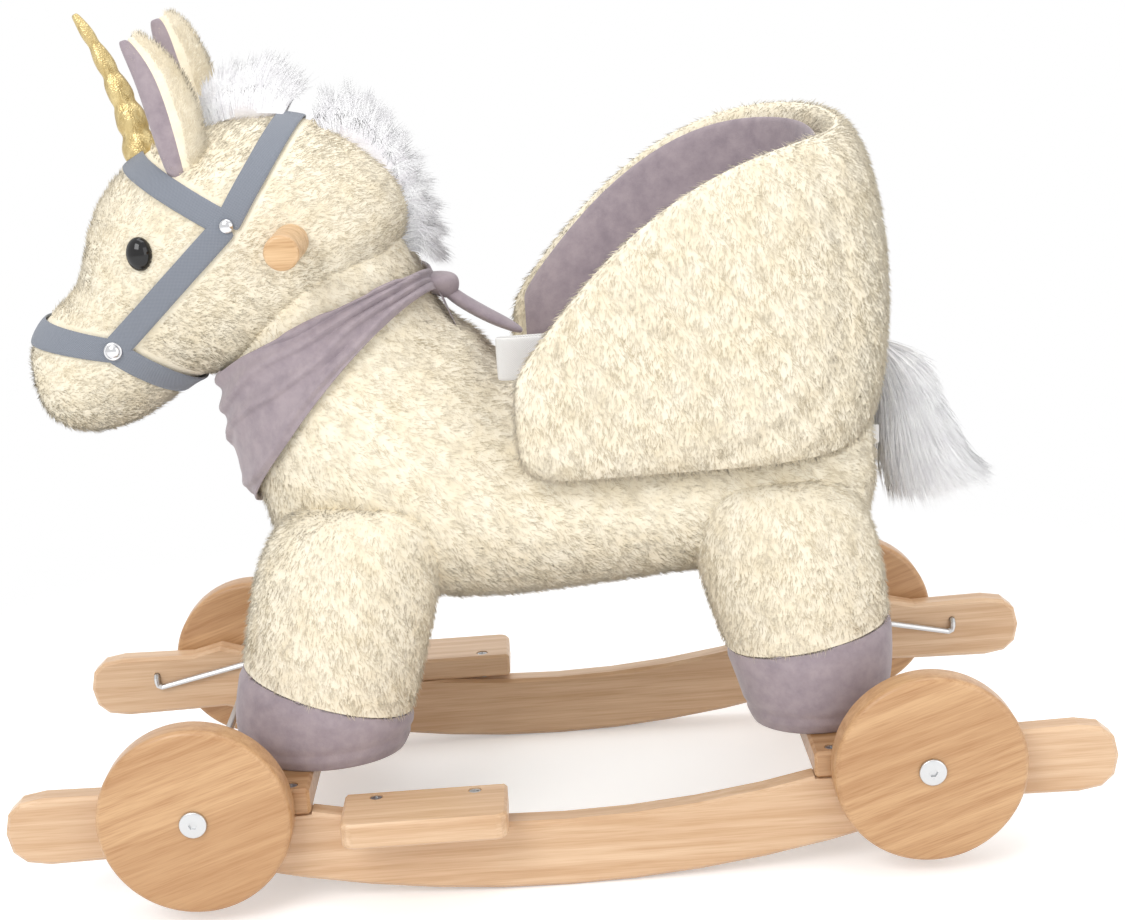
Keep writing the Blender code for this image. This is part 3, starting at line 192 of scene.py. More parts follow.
# %% Metal and eye finishes
def polished(name, colour, roughness, metallic, cloud_mm, smooth, dull, detail=2.0):
    made, tree, shader = new_finish(name, colour, roughness, metallic)
    where = add(tree, "TexCoord").outputs["Object"]
    spread = add(tree, "Mapping", {"Vector": where, "Scale": per_mm(cloud_mm, cloud_mm, cloud_mm)})
    clouds = add(tree, "TexNoise", {"Vector": spread, "Scale": 1.0, "Detail": detail})
    feed(shader, {"Roughness": add(tree, "MapRange", {0: clouds, 3: smooth, 4: dull})})
    return made


ACRYLIC_IOR = 1.49
zinc = polished("bright_zinc_plate", "#C9CACB", 0.30, 1.0, 3, 0.22, 0.42, 3.0)
chrome = polished("nickel_chrome", "#D6D6D8", 0.12, 1.0, 1.5, 0.08, 0.2)
eye_black = polished("black_acrylic_eye", "#0B0A0B", 0.06, 0.0, 2, 0.03, 0.12)
feed(eye_black.node_tree.nodes["Principled BSDF"], {"IOR": ACRYLIC_IOR})
print("polished finishes:", zinc.name, chrome.name, eye_black.name)

# %% [markdown]
# ## Plush, fur and velvet
#
# Plush is a knitted backing with a short pile that stands and leans. The skin under the pile is drawn
# with a soft mottle, and the pile itself is made of real tapered hairs, so that the outline is fuzzy.
# Velvet is a much shorter pile: it darkens where it faces you and brightens at its edges, which is sheen.

# %% Textile finishes
def pile_finish(name, pale, dark, clump_mm, sheen, bump_mm=1.6, relief_mm=0.8, roughness=0.95):
    made, tree, shader = new_finish(name, pale, roughness)
    where = add(tree, "TexCoord").outputs["Object"]
    big = add(tree, "Mapping", {"Vector": where, "Scale": per_mm(clump_mm, clump_mm, clump_mm)})
    patches = add(tree, "TexNoise", {"Vector": big, "Scale": 1.0, "Detail": 4.0, "Roughness": 0.65})
    share = add(tree, "MapRange", {0: patches, 1: 0.35, 2: 0.7, 3: 0.0, 4: 1.0})
    colour = add(tree, "Mix", {0: share, 6: linear(pale), 7: linear(dark)}, data_type="RGBA")
    small = add(tree, "Mapping", {"Vector": where, "Scale": per_mm(bump_mm, bump_mm, bump_mm)})
    nap = add(tree, "TexNoise", {"Vector": small, "Scale": 1.0, "Detail": 3.0})
    both = add(tree, "Math", {0: nap, 1: patches}, operation="ADD")
    relief = add(tree, "Bump", {"Height": both, "Strength": 0.5, "Distance": relief_mm / 1000})
    feed(shader, {"Base Color": colour.outputs[2], "Normal": relief, "Sheen Weight": sheen})
    feed(shader, {"Sheen Roughness": 0.45, "Specular IOR Level": 0.15})
    return made


plush = pile_finish("cream_plush_skin", "#F8F0DC", "#EFE3C8", 16.0, 0.15)
plush_hair = pile_finish("cream_plush_pile", "#F0E5CE", "#E2D3B4", 22.0, 0.1)
long_fur = pile_finish("white_long_pile", "#FFFFFF", "#EDEBEE", 14.0, 0.1)
fur_root = pile_finish("white_fur_backing", "#EFEDEF", "#DAD6DA", 10.0, 0.1)
velvet = pile_finish("lilac_velvet", "#A99CA1", "#958990", 12.0, 0.35, 1.0, 0.3, 0.85)

gold, tree, shader = new_finish("gold_lame_cloth", "#D0AE68", 0.36, 0.85)
where = add(tree, "TexCoord").outputs["Object"]
crinkle = add(tree, "Mapping", {"Vector": where, "Scale": per_mm(5, 5, 9)})
creases = add(tree, "TexNoise", {"Vector": crinkle, "Scale": 1.0, "Detail": 3.0, "Distortion": 0.6})
# The cloth's own stitches are finer. They are drawn 1.1 mm wide so that they show.
knit = add(tree, "Mapping", {"Vector": where, "Scale": per_mm(1.1, 1.1, 1.1)})
stitches = add(tree, "TexVoronoi", {"Vector": knit, "Scale": 1.0}).outputs["Distance"]
height = add(tree, "Math", {0: stitches, 1: 0.25, 2: creases}, operation="MULTIPLY_ADD")
relief = add(tree, "Bump", {"Height": height, "Strength": 0.6, "Distance": 0.0016})
# The colour follows the crinkle noise. It is darker in the creases and paler on the raised folds, which is
# painted shade and painted highlight.
crease_shade_and_highlight = add(tree, "Mix", {0: creases, 6: linear("#9A7D45"), 7: linear("#EBD9A4")}, data_type="RGBA")
feed(shader, {"Base Color": crease_shade_and_highlight.outputs[2], "Normal": relief})
print("textile finishes:", plush.name, velvet.name, gold.name)

# %% [markdown]
# ## Webbing
#
# Webbing is woven from thick yarns, so it shows small ribs across and along. The straps carry their own
# UV map in metres, so a rib's width can be given in millimetres. It is 1.3 mm here, which is a little
# coarser than real ribs, so that they show.

# %% Webbing finishes
def webbing(name, pale, dark, rib_mm=1.3):
    made, tree, shader = new_finish(name, pale, 0.8)
    flat = add(tree, "TexCoord").outputs["UV"]
    scaled = add(tree, "Mapping", {"Vector": flat, "Scale": per_mm(rib_mm, rib_mm, 1000)})
    parts = add(tree, "SeparateXYZ", {0: scaled})
    waves = []
    for axis in "XY":
        turn = add(tree, "Math", {0: parts.outputs[axis], 1: 2 * math.pi}, operation="MULTIPLY")
        waves.append(add(tree, "Math", {0: turn}, operation="SINE"))
    weave = add(tree, "Math", {0: waves[0], 1: waves[1]}, operation="MULTIPLY")
    share = add(tree, "MapRange", {0: weave, 1: -1.0, 2: 1.0, 3: 0.0, 4: 1.0})
    colour = add(tree, "Mix", {0: share, 6: linear(pale), 7: linear(dark)}, data_type="RGBA")
    relief = add(tree, "Bump", {"Height": weave, "Strength": 0.5, "Distance": 0.0004})
    feed(shader, {"Base Color": colour.outputs[2], "Normal": relief, "Sheen Weight": 0.15})
    return made


grey_webbing = webbing("grey_polyester_webbing", "#8F949E", "#737984")
white_webbing = webbing("white_polyester_webbing", "#F3F2F0", "#DDDBD8")
print("webbing finishes:", grey_webbing.name, white_webbing.name)

# %% [markdown]
# ## Modelling helpers
#
# Each helper does what a hand would do. Everything is deselected before a primitive is added.
# A stuffed form starts as rings, each a circle primitive at its place, which are bridged in pairs,
# closed at both ends, and rounded by a Subdivision Surface that is then applied. Rings are written in
# millimetres, so that they can be checked against a ruler.

# %% Helpers for pieces
def nothing_selected():
    if bpy.context.mode != "OBJECT":
        bpy.ops.object.mode_set(mode="OBJECT")
    bpy.ops.object.select_all(action="DESELECT")


def only(made):
    nothing_selected()
    made.select_set(True)
    bpy.context.view_layer.objects.active = made


def pick(made, wanted):
    """Selects some vertices of the piece in edit mode, and the edges between them."""
    bpy.ops.mesh.select_all(action="DESELECT")
    shape = bmesh.from_edit_mesh(made.data)
    shape.verts.ensure_lookup_table()
    for index in wanted:
        shape.verts[index].select = True
    shape.select_flush(True)
    bmesh.update_edit_mesh(made.data)


def apply_all(made):
    bpy.context.view_layer.objects.active = made
    for step in list(made.modifiers):
        bpy.ops.object.modifier_apply(modifier=step.name)
    return made


def soften(made, levels=2, angle=180):
    only(made)
    if levels:
        step = made.modifiers.new("Soft form", "SUBSURF")
        step.levels = levels
        step.render_levels = levels
        apply_all(made)
    bpy.ops.object.shade_smooth_by_angle(angle=math.radians(angle))
    return made


def thicken(made, wall, offset=1.0):
    step = made.modifiers.new("Cloth", "SOLIDIFY")
    step.thickness = wall
    step.offset = offset
    return step


def settle(made, angle=180):
    """The piece's place and turn go into its mesh, so that its origin is the world's."""
    only(made)
    bpy.ops.object.transform_apply(location=True, rotation=True, scale=True)
    bpy.ops.object.shade_smooth_by_angle(angle=math.radians(angle))
    return made


def dress(made, finish, nodes=(), body=TOY):
    made.data.materials.clear()
    made.data.materials.append(finish)
    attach(made, body)
    if nodes:
        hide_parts(*nodes)
    return made


def ringed_form(name, sections, y=0, points=16, levels=2, slim=0, per=1000):
    """Rings of (x, z, half height, half width, lean in degrees, own y), bridged into one closed form.

    Lengths are in millimetres, or in metres where per is 1.
    """
    nothing_selected()
    fuller = 1.0 / (2.0 / 3.0 + math.cos(2 * math.pi / points) / 3.0)
    bpy.ops.mesh.primitive_circle_add(vertices=points, radius=1.0, location=(0, 0, 0))
    made = bpy.context.object
    made.name = name
    bpy.ops.object.mode_set(mode="EDIT")
    bpy.ops.mesh.select_mode(type="VERT")
    for k in range(len(sections) - 1):
        bpy.ops.mesh.primitive_circle_add(vertices=points, radius=1.0, location=(0, 0, 0))
    shape = bmesh.from_edit_mesh(made.data)
    shape.verts.ensure_lookup_table()
    for k, (x, z, tall, wide, lean, *own_y) in enumerate(sections):
        turn = math.radians(lean) - math.pi / 2
        middle_y = (own_y[0] if own_y else y) / per
        for vertex in shape.verts[k * points : (k + 1) * points]:
            high = vertex.co.x * (tall / per - slim / per) * fuller
            out = vertex.co.y * (wide / per - slim / per) * fuller
            vertex.co = (x / per + high * math.cos(turn), middle_y + out, z / per - high * math.sin(turn))
    bmesh.update_edit_mesh(made.data)
    for k in range(len(sections) - 1):
        pick(made, range(k * points, (k + 2) * points))
        bpy.ops.mesh.bridge_edge_loops()
    for start in (0, (len(sections) - 1) * points):
        pick(made, range(start, start + points))
        bpy.ops.mesh.edge_face_add()
        bpy.ops.mesh.poke()
    bpy.ops.mesh.select_all(action="SELECT")
    bpy.ops.mesh.normals_make_consistent(inside=False)
    nothing_selected()
    return soften(made, levels)


def woven_grid(
    name, rows, closed_across=False, closed_along=False, ends=False, levels=0, wall=0.0, offset=1.0
):
    """A grid primitive whose vertices are laid on rows of points; its UV map is in metres."""
    stations, across = len(rows), len(rows[0])
    along_faces = stations if closed_along else stations - 1
    across_faces = across if closed_across else across - 1
    nothing_selected()
    bpy.ops.mesh.primitive_grid_add(
        x_subdivisions=along_faces, y_subdivisions=across_faces, size=1.0, calc_uvs=True
    )
    made = bpy.context.object
    made.name = name
    length = sum((Vector(rows[k + 1][0]) - Vector(rows[k][0])).length for k in range(stations - 1))
    width = sum((Vector(rows[0][k + 1]) - Vector(rows[0][k])).length for k in range(across - 1))
    for corner in made.data.uv_layers.active.data:
        corner.uv = (corner.uv[0] * length, corner.uv[1] * width)
    for vertex in made.data.vertices:
        i = round((vertex.co.x + 0.5) * along_faces) % stations
        j = round((vertex.co.y + 0.5) * across_faces) % across
        vertex.co = rows[i][j]
    bpy.ops.object.mode_set(mode="EDIT")
    bpy.ops.mesh.select_all(action="SELECT")
    bpy.ops.mesh.remove_doubles(threshold=0.00002)
    if ends:
        bpy.ops.mesh.select_all(action="DESELECT")
        bpy.ops.mesh.select_mode(type="EDGE")
        bpy.ops.mesh.select_non_manifold(extend=False, use_boundary=True)
        bpy.ops.mesh.edge_face_add()
        bpy.ops.mesh.select_all(action="SELECT")
    bpy.ops.mesh.normals_make_consistent(inside=False)
    nothing_selected()
    if wall:
        step = thicken(made, wall, offset)
        step.use_even_offset = False
        apply_all(made)
    return soften(made, levels, 60)


def outer_cloth(name, rows, middle, wall, angle, closed_along=False):
    """A band of cloth that faces away from a point inside the toy, and thickens outwards."""
    made = woven_grid(name, rows, closed_along=closed_along)
    if sum((face.center - middle).dot(face.normal) for face in made.data.polygons) < 0:
        made.data.flip_normals()
    thicken(made, wall)
    apply_all(made)
    return soften(made, 1, angle)


def tree_of(made):
    """A search tree of a piece's faces, for laying other pieces on it."""
    spots = [vertex.co.copy() for vertex in made.data.vertices]
    return BVHTree.FromPolygons(spots, [tuple(face.vertices) for face in made.data.polygons])


print("forms for pieces: ringed form, woven grid, outer cloth")

# %% [markdown]
# ## Hair
#
# A hair is a three-sided tapered tube that ends in a point. Thousands of them are one mesh, laid out with
# arrays, because an operator for each would take hours. Roots are scattered evenly by area over a skin,
# and each hair leans with the nap. Where another piece covers the skin, no hair grows. A hair is so thin
# that light passes round it, so it takes its shading normal from the cloth below.

# %% Hair helpers
PILE_THICKNESS, ROOT_DEPTH = 0.00034, 0.0006


def unit(vectors):
    return vectors / (numpy.linalg.norm(vectors, axis=1)[:, None] + 1e-9)


def hair_mesh(name, paths, thickness, facing):
    """paths is an array (hairs, points, 3). Each hair is closed, and is shaded as the cloth below it."""
    hairs, points, _ = paths.shape
    lead = unit(paths[:, -1] - paths[:, 0])
    helper = numpy.where(numpy.abs(lead[:, 2:3]) < 0.8, [[0.0, 0.0, 1.0]], [[1.0, 0.0, 0.0]])
    side = unit(numpy.cross(lead, helper))
    other = numpy.cross(lead, side)
    rings = []
    for k in range(points - 1):
        taper = 1.0 - 0.75 * k / (points - 1)
        for turn in (0, 1, 2):
            angle = 2 * math.pi * turn / 3
            reach = side * math.cos(angle) + other * math.sin(angle)
            rings.append(paths[:, k] + reach * (thickness * taper)[:, None])
    rings.append(paths[:, -1])
    corners = numpy.stack(rings, axis=1)
    count = corners.shape[1]
    faces = [(0, 2, 1)]
    for k in range(points - 2):
        for turn in (0, 1, 2):
            nxt = (turn + 1) % 3
            a, b, c, d = 3 * k + turn, 3 * k + nxt, 3 * k + 3 + nxt, 3 * k + 3 + turn
            faces += [(a, b, c), (a, c, d)]
    last = 3 * (points - 2)
    for turn in (0, 1, 2):
        faces.append((last + turn, last + (turn + 1) % 3, count - 1))
    pattern = numpy.array(faces, dtype=numpy.int32)
    everything = (pattern[None] + (numpy.arange(hairs) * count)[:, None, None]).reshape(-1, 3)
    mesh = bpy.data.meshes.new(name)
    mesh.from_pydata([], [], [])
    mesh.vertices.add(hairs * count)
    mesh.vertices.foreach_set("co", corners.reshape(-1).astype(numpy.float32))
    mesh.loops.add(everything.size)
    mesh.loops.foreach_set("vertex_index", everything.reshape(-1))
    mesh.polygons.add(len(everything))
    mesh.polygons.foreach_set("loop_start", numpy.arange(len(everything), dtype=numpy.int32) * 3)
    mesh.update(calc_edges=True)
    mesh.validate()
    made = bpy.data.objects.new(name, mesh)
    bpy.context.scene.collection.objects.link(made)
    mesh.shade_smooth()
    mesh.normals_split_custom_set_from_vertices(numpy.repeat(unit(facing), count, axis=0))
    return made


def array_of(block, key, kind=float):
    """One attribute of a mesh's vertices, normals or triangles, as rows of three."""
    values = numpy.empty(len(block) * 3, dtype=kind)
    block.foreach_get(key, values)
    return values.reshape(-1, 3)


def scatter(made, count, seed):
    """Random points on a mesh, even by area, with the smooth normal at each."""
    mesh = made.data
    mesh.calc_loop_triangles()
    corners = array_of(mesh.loop_triangles, "vertices", numpy.int32)
    spots, normals = array_of(mesh.vertices, "co"), array_of(mesh.vertex_normals, "vector")
    a, b, c = (spots[corners[:, k]] for k in range(3))
    area = numpy.linalg.norm(numpy.cross(b - a, c - a), axis=1)
    chance = numpy.random.default_rng(seed)
    which = chance.choice(len(corners), size=count, p=area / area.sum())
    u, v = chance.random(count), chance.random(count)
    flip = u + v > 1
    u[flip], v[flip] = 1 - u[flip], 1 - v[flip]
    w = (1 - u - v)[:, None]
    u, v = u[:, None], v[:, None]
    at = a[which] * w + b[which] * u + c[which] * v
    na, nb, nc = (normals[corners[which, k]] for k in range(3))
    return at, unit(na * w + nb * u + nc * v), chance


def grow_pile(name, skin, count, length, nap, seed, covers=(), inside=(), stand=0.36, keep=None):
    """Short hairs on a skin. nap(points) gives the way the pile leans; covers and inside are search trees."""
    at, n, chance = scatter(skin, count, seed)
    wanted = numpy.ones(count, dtype=bool)
    if keep is not None:
        wanted &= keep(at, n)
    for k in numpy.nonzero(wanted)[0]:
        spot = Vector(at[k])
        if any(cover.find_nearest(spot, reach)[0] is not None for cover, reach in covers):
            wanted[k] = False
            continue
        for form in inside:
            found, normal, face, distance = form.find_nearest(spot)
            if (spot - found).dot(normal) < 0:
                wanted[k] = False
                break
    at, n = at[wanted], n[wanted]
    flow = nap(at)
    flow = unit(flow - n * (flow * n).sum(axis=1)[:, None])
    clump = 0.35 * numpy.sin(at @ numpy.array([260.0, 190.0, 230.0]))[:, None]
    swirl = numpy.cross(n, flow) * (clump + chance.normal(0, 0.3, (len(at), 1)))
    lean = flow + swirl
    lean /= numpy.linalg.norm(lean, axis=1)[:, None]
    reach = length * chance.uniform(0.65, 1.15, (len(at), 1))
    heading = n * stand + lean * (1 - stand) + chance.normal(0, 0.10, at.shape)
    heading /= numpy.linalg.norm(heading, axis=1)[:, None]
    root = at - n * ROOT_DEPTH
    paths = numpy.stack([root, root + heading * reach], axis=1)
    facing = n + 0.25 * heading + chance.normal(0, 0.13, at.shape)
    return hair_mesh(name, paths, PILE_THICKNESS * chance.uniform(0.8, 1.2, len(at)), facing)


print("pile hair thickness:", PILE_THICKNESS * 1000, "mm")

# %% [markdown]
# ## The body
#
# The body is one stuffed barrel that rises into the neck. Its rings are the ones that the CAD form has,
# with more points, and two millimetres slimmer, so that the pile brings it back to its size.
# The seat board inside it presses on the cloth at two edges, so the skin is pushed out there.

# %% Body
PILE_ROOM_MM = 2
body_rings = [
    (226, 248, 34, 40, 0), (216, 246, 60, 70, 0), (188, 243, 70, 92, 0), (110, 239, 66, 99, 0),
    (15, 236, 72, 100, 2), (-45, 242, 85, 100, 14), (-90, 262, 102, 96, 32), (-122, 292, 96, 88, 52),
    (-139, 346, 78, 74, 70), (-140, 384, 70, 69, 72), (-142, 412, 60, 58, 76),
]
body_skin = ringed_form("body_skin", body_rings, slim=PILE_ROOM_MM)

# The stuffing bulges over the seat board's front and rear lower edges, so that the wood stays inside.
BOARD_EDGES_X = (-0.168, 0.180)
BOARD_EDGE_Z = 0.205
BOARD_HALF_WIDTH = 0.078
BULGE = 0.010
BULGE_REACH = 0.045
outward = [vertex.normal.copy() for vertex in body_skin.data.vertices]
for vertex, normal in zip(body_skin.data.vertices, outward):
    side_y = max(-BOARD_HALF_WIDTH, min(BOARD_HALF_WIDTH, vertex.co.y))
    gap = min((vertex.co - Vector((x, side_y, BOARD_EDGE_Z))).length for x in BOARD_EDGES_X)
    if gap < BULGE_REACH:
        vertex.co += normal * BULGE * (1 - (gap / BULGE_REACH) ** 2) ** 2
dress(body_skin, plush, ["body"])
body_tree = tree_of(body_skin)
print("body faces:", len(body_skin.data.polygons))

# %% [markdown]
# ## The head
#
# The head is a second stuffed form, from the muzzle back to the neck. It is made as the body is, from rings
# that lean with the face, because that gives a smooth skin on which the bridle can be laid later.

# %% Head
head_rings = [
    (-334, 333, 22, 26, -8), (-326, 335, 38, 42, -8), (-303, 339, 48, 51, -10), (-276, 354, 53, 52, -22),
    (-260, 381, 62, 58, -30), (-240, 401, 77, 68, -22), (-205, 415, 88, 75, -4), (-160, 417, 90, 78, 14),
    (-119, 406, 71, 66, 39), (-101, 393, 43, 45, 46),
]
head_skin = ringed_form("head_skin", head_rings, slim=PILE_ROOM_MM)
dress(head_skin, plush, ["head"])
head_tree = tree_of(head_skin)
print("head faces:", len(head_skin.data.polygons))

# %% [markdown]
# ## Legs and hooves
#
# A leg and its velvet hoof are one stuffed limb, cut by a slanted plane where the two cloths are sewn.
# Both are made from the same rings and then bisected. The hoof's cut edge is drawn in a little, as a seam
# draws cloth in, and a second groove runs round above its flat sole.

# %% Legs and hooves
front_limb = [
    (-120, 248, 52, 42, 90), (-130, 212, 65, 50, 90), (-143, 154, 63, 51, 90),
    (-157, 107, 62, 51, 90), (-156, 85, 56, 46, 90), (-154, 70, 42, 36, 90),
]
rear_limb = [
    (150, 248, 52, 42, 90), (156, 212, 64, 50, 90), (167, 154, 60, 51, 90),
    (175, 107, 52, 50, 90), (173, 85, 45, 43, 90), (172, 70, 34, 32, 90),
]
LIMB_Y_MM = 72
SIDES = (("left", -1), ("right", 1))
UPWARDS = (0, 0, 1)
SOLE_GAP, SOLE_GROOVE_UP = 0.0004, 0.012
SEAM_SINK, SEAM_BAND = 0.0022, 0.006
SOLE_SINK, SOLE_BAND = 0.0014, 0.0022
crossbar_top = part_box("crossbar_front")[1][2]


def slice_form(made, point, normal, keep_above):
    only(made)
    bpy.ops.object.mode_set(mode="EDIT")
    bpy.ops.mesh.select_all(action="SELECT")
    bpy.ops.mesh.bisect(
        plane_co=point, plane_no=normal, use_fill=True, clear_inner=keep_above, clear_outer=not keep_above
    )
    bpy.ops.mesh.select_all(action="SELECT")
    bpy.ops.mesh.normals_make_consistent(inside=False)
    nothing_selected()


def draw_in(made, point, normal, depth, reach):
    """Vertices near a plane move inwards, as cloth does at a seam."""
    normal = Vector(normal).normalized()
    for vertex in made.data.vertices:
        away = abs((vertex.co - Vector(point)).dot(normal))
        if away < reach:
            vertex.co -= vertex.normal * depth * (1 - (away / reach) ** 2)


limb_skins = {}
for end, rings, seam_x, seam_z, seam_lean in (
    ("front", front_limb, -0.150, 0.125, math.radians(-20)),
    ("rear", rear_limb, 0.173, 0.142, math.radians(9)),
):
    across_seam = (-math.sin(seam_lean), 0, math.cos(seam_lean))
    seam_point = (seam_x, 0, seam_z)
    for side, sign in SIDES:
        label = end + "_" + side
        leg = ringed_form("leg_skin_" + label, rings, sign * LIMB_Y_MM, slim=PILE_ROOM_MM)
        slice_form(leg, seam_point, across_seam, True)
        hoof = ringed_form("hoof_velvet_" + label, rings, sign * LIMB_Y_MM, levels=3)
        slice_form(hoof, seam_point, across_seam, False)
        slice_form(hoof, (0, 0, crossbar_top + SOLE_GAP), UPWARDS, True)
        draw_in(hoof, seam_point, across_seam, SEAM_SINK, SEAM_BAND)
        draw_in(hoof, (0, 0, crossbar_top + SOLE_GROOVE_UP), UPWARDS, SOLE_SINK, SOLE_BAND)
        soften(leg, 0, 60)
        soften(hoof, 0, 60)
        dress(leg, plush, ["leg_" + label])
        dress(hoof, velvet, ["hoof_" + label])
        limb_skins[label] = leg
print("limbs:", len(limb_skins))

# %% [markdown]
# ## The bucket seat
#
# The seat is a U-shaped padded wall whose rim sweeps up from the front to the back. It is laid out as
# stations round the U, each with a ring of points across the wall, and then rounded.

# %% Seat shell and lining
SEAT_HALF, SEAT_BACK, SEAT_FRONT = 0.128, 0.244, -0.004
WALL, CORNER, BOTTOM = 0.036, 0.085, 0.262
LEAN_IN, RIM_FRONT, RIM_RISE, RIM_POWER = 0.022, 0.352, 0.122, 3.0
TWIST, TOP_LEAN = 0.06, 0.055


def seat_path(inset, steps):
    half, back = SEAT_HALF - inset, SEAT_BACK - inset
    corner = CORNER - inset * 0.6
    straight = back - corner - SEAT_FRONT
    arc = corner * math.pi / 2
    total = 2 * (straight + arc + half - corner)
    points = []
    for k in range(steps):
        s = total * k / (steps - 1)
        mirrored = s > total / 2
        s = total - s if mirrored else s
        if s < straight:
            x, y = SEAT_FRONT + s, -half
        elif s < straight + arc:
            turn = (s - straight) / corner
            x = back - corner + corner * math.sin(turn)
            y = -(half - corner) - corner * math.cos(turn)
        else:
            x, y = back, -(half - corner) + (s - straight - arc)
        points.append(Vector((x, -y if mirrored else y)))
    return points


def rim_height(x):
    t = min(max((x - SEAT_FRONT) / (SEAT_BACK - SEAT_FRONT), 0.0), 1.0)
    return RIM_FRONT + RIM_RISE * (1 - (1 - t) ** RIM_POWER)


def seat_rows(outer, inner, low, drop, side_section, back_section, steps, reach):
    """The wall's section changes from the thin one of the sides to the thick one of the back."""
    rows = []
    for a, b in zip(seat_path(outer, steps), seat_path(inner, steps)):
        top = rim_height((a.x + b.x) / 2) - drop + TWIST * (a.y + b.y) / 2
        backward = (a.x - SEAT_FRONT) / (SEAT_BACK - SEAT_FRONT)
        share = min(max((a.x - 0.110) / 0.085, 0.0), 1.0)
        row = []
        for (side_u, side_v), (back_u, back_v) in zip(side_section, back_section):
            u, v = side_u + (back_u - side_u) * share, side_v + (back_v - side_v) * share
            spot = a.lerp(b, u)
            lean = LEAN_IN * backward**2 * max(0.0, 0.6 - v) + TOP_LEAN * backward**2 * max(0.0, v - 0.7)
            row.append(Vector((spot.x - lean, spot.y, low + (top - low) * v)))
        rows.append(row)
    finished = []
    for row in (rows[0], rows[-1]):
        middle = sum(row, Vector()) / len(row)
        finished.append([middle + (point - middle) * 0.62 + Vector((-reach, 0, 0)) for point in row])
    return [finished[0]] + rows + [finished[1]]


shell_section = [
    (0.05, 0.08), (0.0, 0.5), (0.03, 0.92), (0.22, 1.03),
    (0.50, 0.95), (0.90, 0.55), (0.95, 0.08), (0.5, -0.02),
]
shell_back = [
    (0.05, 0.08), (0.0, 0.5), (0.08, 0.90), (0.42, 1.03),
    (0.82, 0.97), (0.95, 0.55), (0.95, 0.08), (0.5, -0.02),
]
shell_rows = seat_rows(0.0, WALL, BOTTOM, 0.0, shell_section, shell_back, 13, 0.010)
shell_skin = woven_grid("seat_shell_skin", shell_rows, closed_across=True, ends=True, levels=3)
dress(shell_skin, plush, ["seat_shell"])
lining_section = [
    (0.34, 0.93), (0.40, 0.99), (0.48, 0.97), (0.80, 0.62), (1.0, 0.05), (0.80, 0.0), (0.62, 0.45)
]
lining_back = [
    (0.70, 0.92), (0.74, 0.97), (0.82, 0.97), (0.94, 0.62), (1.0, 0.05), (0.84, 0.0), (0.80, 0.45)
]
lining_rows = seat_rows(0.004, WALL + 0.008, 0.308, 0.002, lining_section, lining_back, 13, 0.0)
seat_lining = woven_grid("seat_lining_velvet", lining_rows, closed_across=True, ends=True, levels=2)
dress(seat_lining, velvet, ["seat_lining"])
print("seat lining faces:", len(seat_lining.data.polygons))

# %% [markdown]
# ### The seat's side seams
#
# Each side is sewn to the back along a curved seam. The shell's skin sinks where the seam lies, and later
# no pile grows there, so it shows as a groove.

# %% Side seams
SEAM_REACH, SEAM_DEPTH, SEAM_STEPS, SPECK = 0.008, 0.0028, 6, 0.0006
FAR_OFF = 0.3  # A ray starts this far outside the toy.
side_seam = [
    (176, 462), (188, 443), (194, 423), (198, 382), (197, 340), (190, 315), (172, 298), (140, 283), (108, 270)
]
side_seam = [(x / 1000, z / 1000) for x, z in side_seam]
shell_tree = tree_of(shell_skin)
corners = []
for sign in (-1, 1):
    for (x0, z0), (x1, z1) in zip(side_seam, side_seam[1:]):
        for k in range(SEAM_STEPS):
            x, z = x0 + (x1 - x0) * k / SEAM_STEPS, z0 + (z1 - z0) * k / SEAM_STEPS
            found = shell_tree.ray_cast(Vector((x, sign * FAR_OFF, z)), Vector((0, -sign, 0)))[0]
            if found is not None:
                corners += [found, found + Vector((SPECK, 0, 0)), found + Vector((0, 0, SPECK))]
seam_tree = BVHTree.FromPolygons(corners, [(k, k + 1, k + 2) for k in range(0, len(corners), 3)])
for vertex in shell_skin.data.vertices:
    found, normal, face, distance = seam_tree.find_nearest(vertex.co, SEAM_REACH)
    if found is not None:
        vertex.co -= vertex.normal * SEAM_DEPTH * (1 - (distance / SEAM_REACH) ** 2)
print("seat shell faces:", len(shell_skin.data.polygons), "seam points:", len(corners) // 3)

# %% [markdown]
# ## The seat cushion
#
# The cushion is a stuffed pad between the lining's walls. It starts as stacked outlines, is remeshed evenly,
# and a short cloth simulation with inner pressure swells it. No point may move further than 6 mm.

# %% Seat cushion
MOST_SWELL, SWELL_FRAMES = 0.006, 20
EVEN_FACE, PRESSURE = 0.005, 4.0
plan = seat_path(WALL + 0.010, 15) + [Vector((SEAT_FRONT + 0.006, y)) for y in (0.045, 0.0, -0.045)]
plan_middle = sum(plan, Vector((0, 0))) / len(plan)
outlines = (
    (0.2, 0.292), (0.65, 0.292), (0.93, 0.295), (1.0, 0.312), (0.94, 0.328), (0.66, 0.333), (0.2, 0.335)
)
cushion_rows = []
for share, z in outlines:
    cushion_rows.append([(*(plan_middle + (spot - plan_middle) * share), z) for spot in plan])
cushion = woven_grid("seat_cushion_velvet", cushion_rows, closed_across=True, ends=True, levels=1)
even = cushion.modifiers.new("Even faces", "REMESH")
even.mode = "VOXEL"
even.voxel_size = EVEN_FACE
apply_all(cushion)
before = [v.co.copy() for v in cushion.data.vertices]
swell = cushion.modifiers.new("Swell", "CLOTH")
swell.settings.use_pressure = True
swell.settings.uniform_pressure_force = PRESSURE
swell.settings.effector_weights.gravity = 0.0
for number in range(1, SWELL_FRAMES + 1):
    bpy.context.scene.frame_set(number)
swollen = cushion.evaluated_get(bpy.context.evaluated_depsgraph_get()).data
after = [v.co.copy() for v in swollen.vertices]
cushion.modifiers.clear()
for vertex, old, new in zip(cushion.data.vertices, before, after):
    move = new - old
    vertex.co = old + move * min(1.0, MOST_SWELL / max(move.length, 1e-6))
bpy.context.scene.frame_set(1)
soften(cushion, 1)
dress(cushion, velvet, ["seat_cushion"])
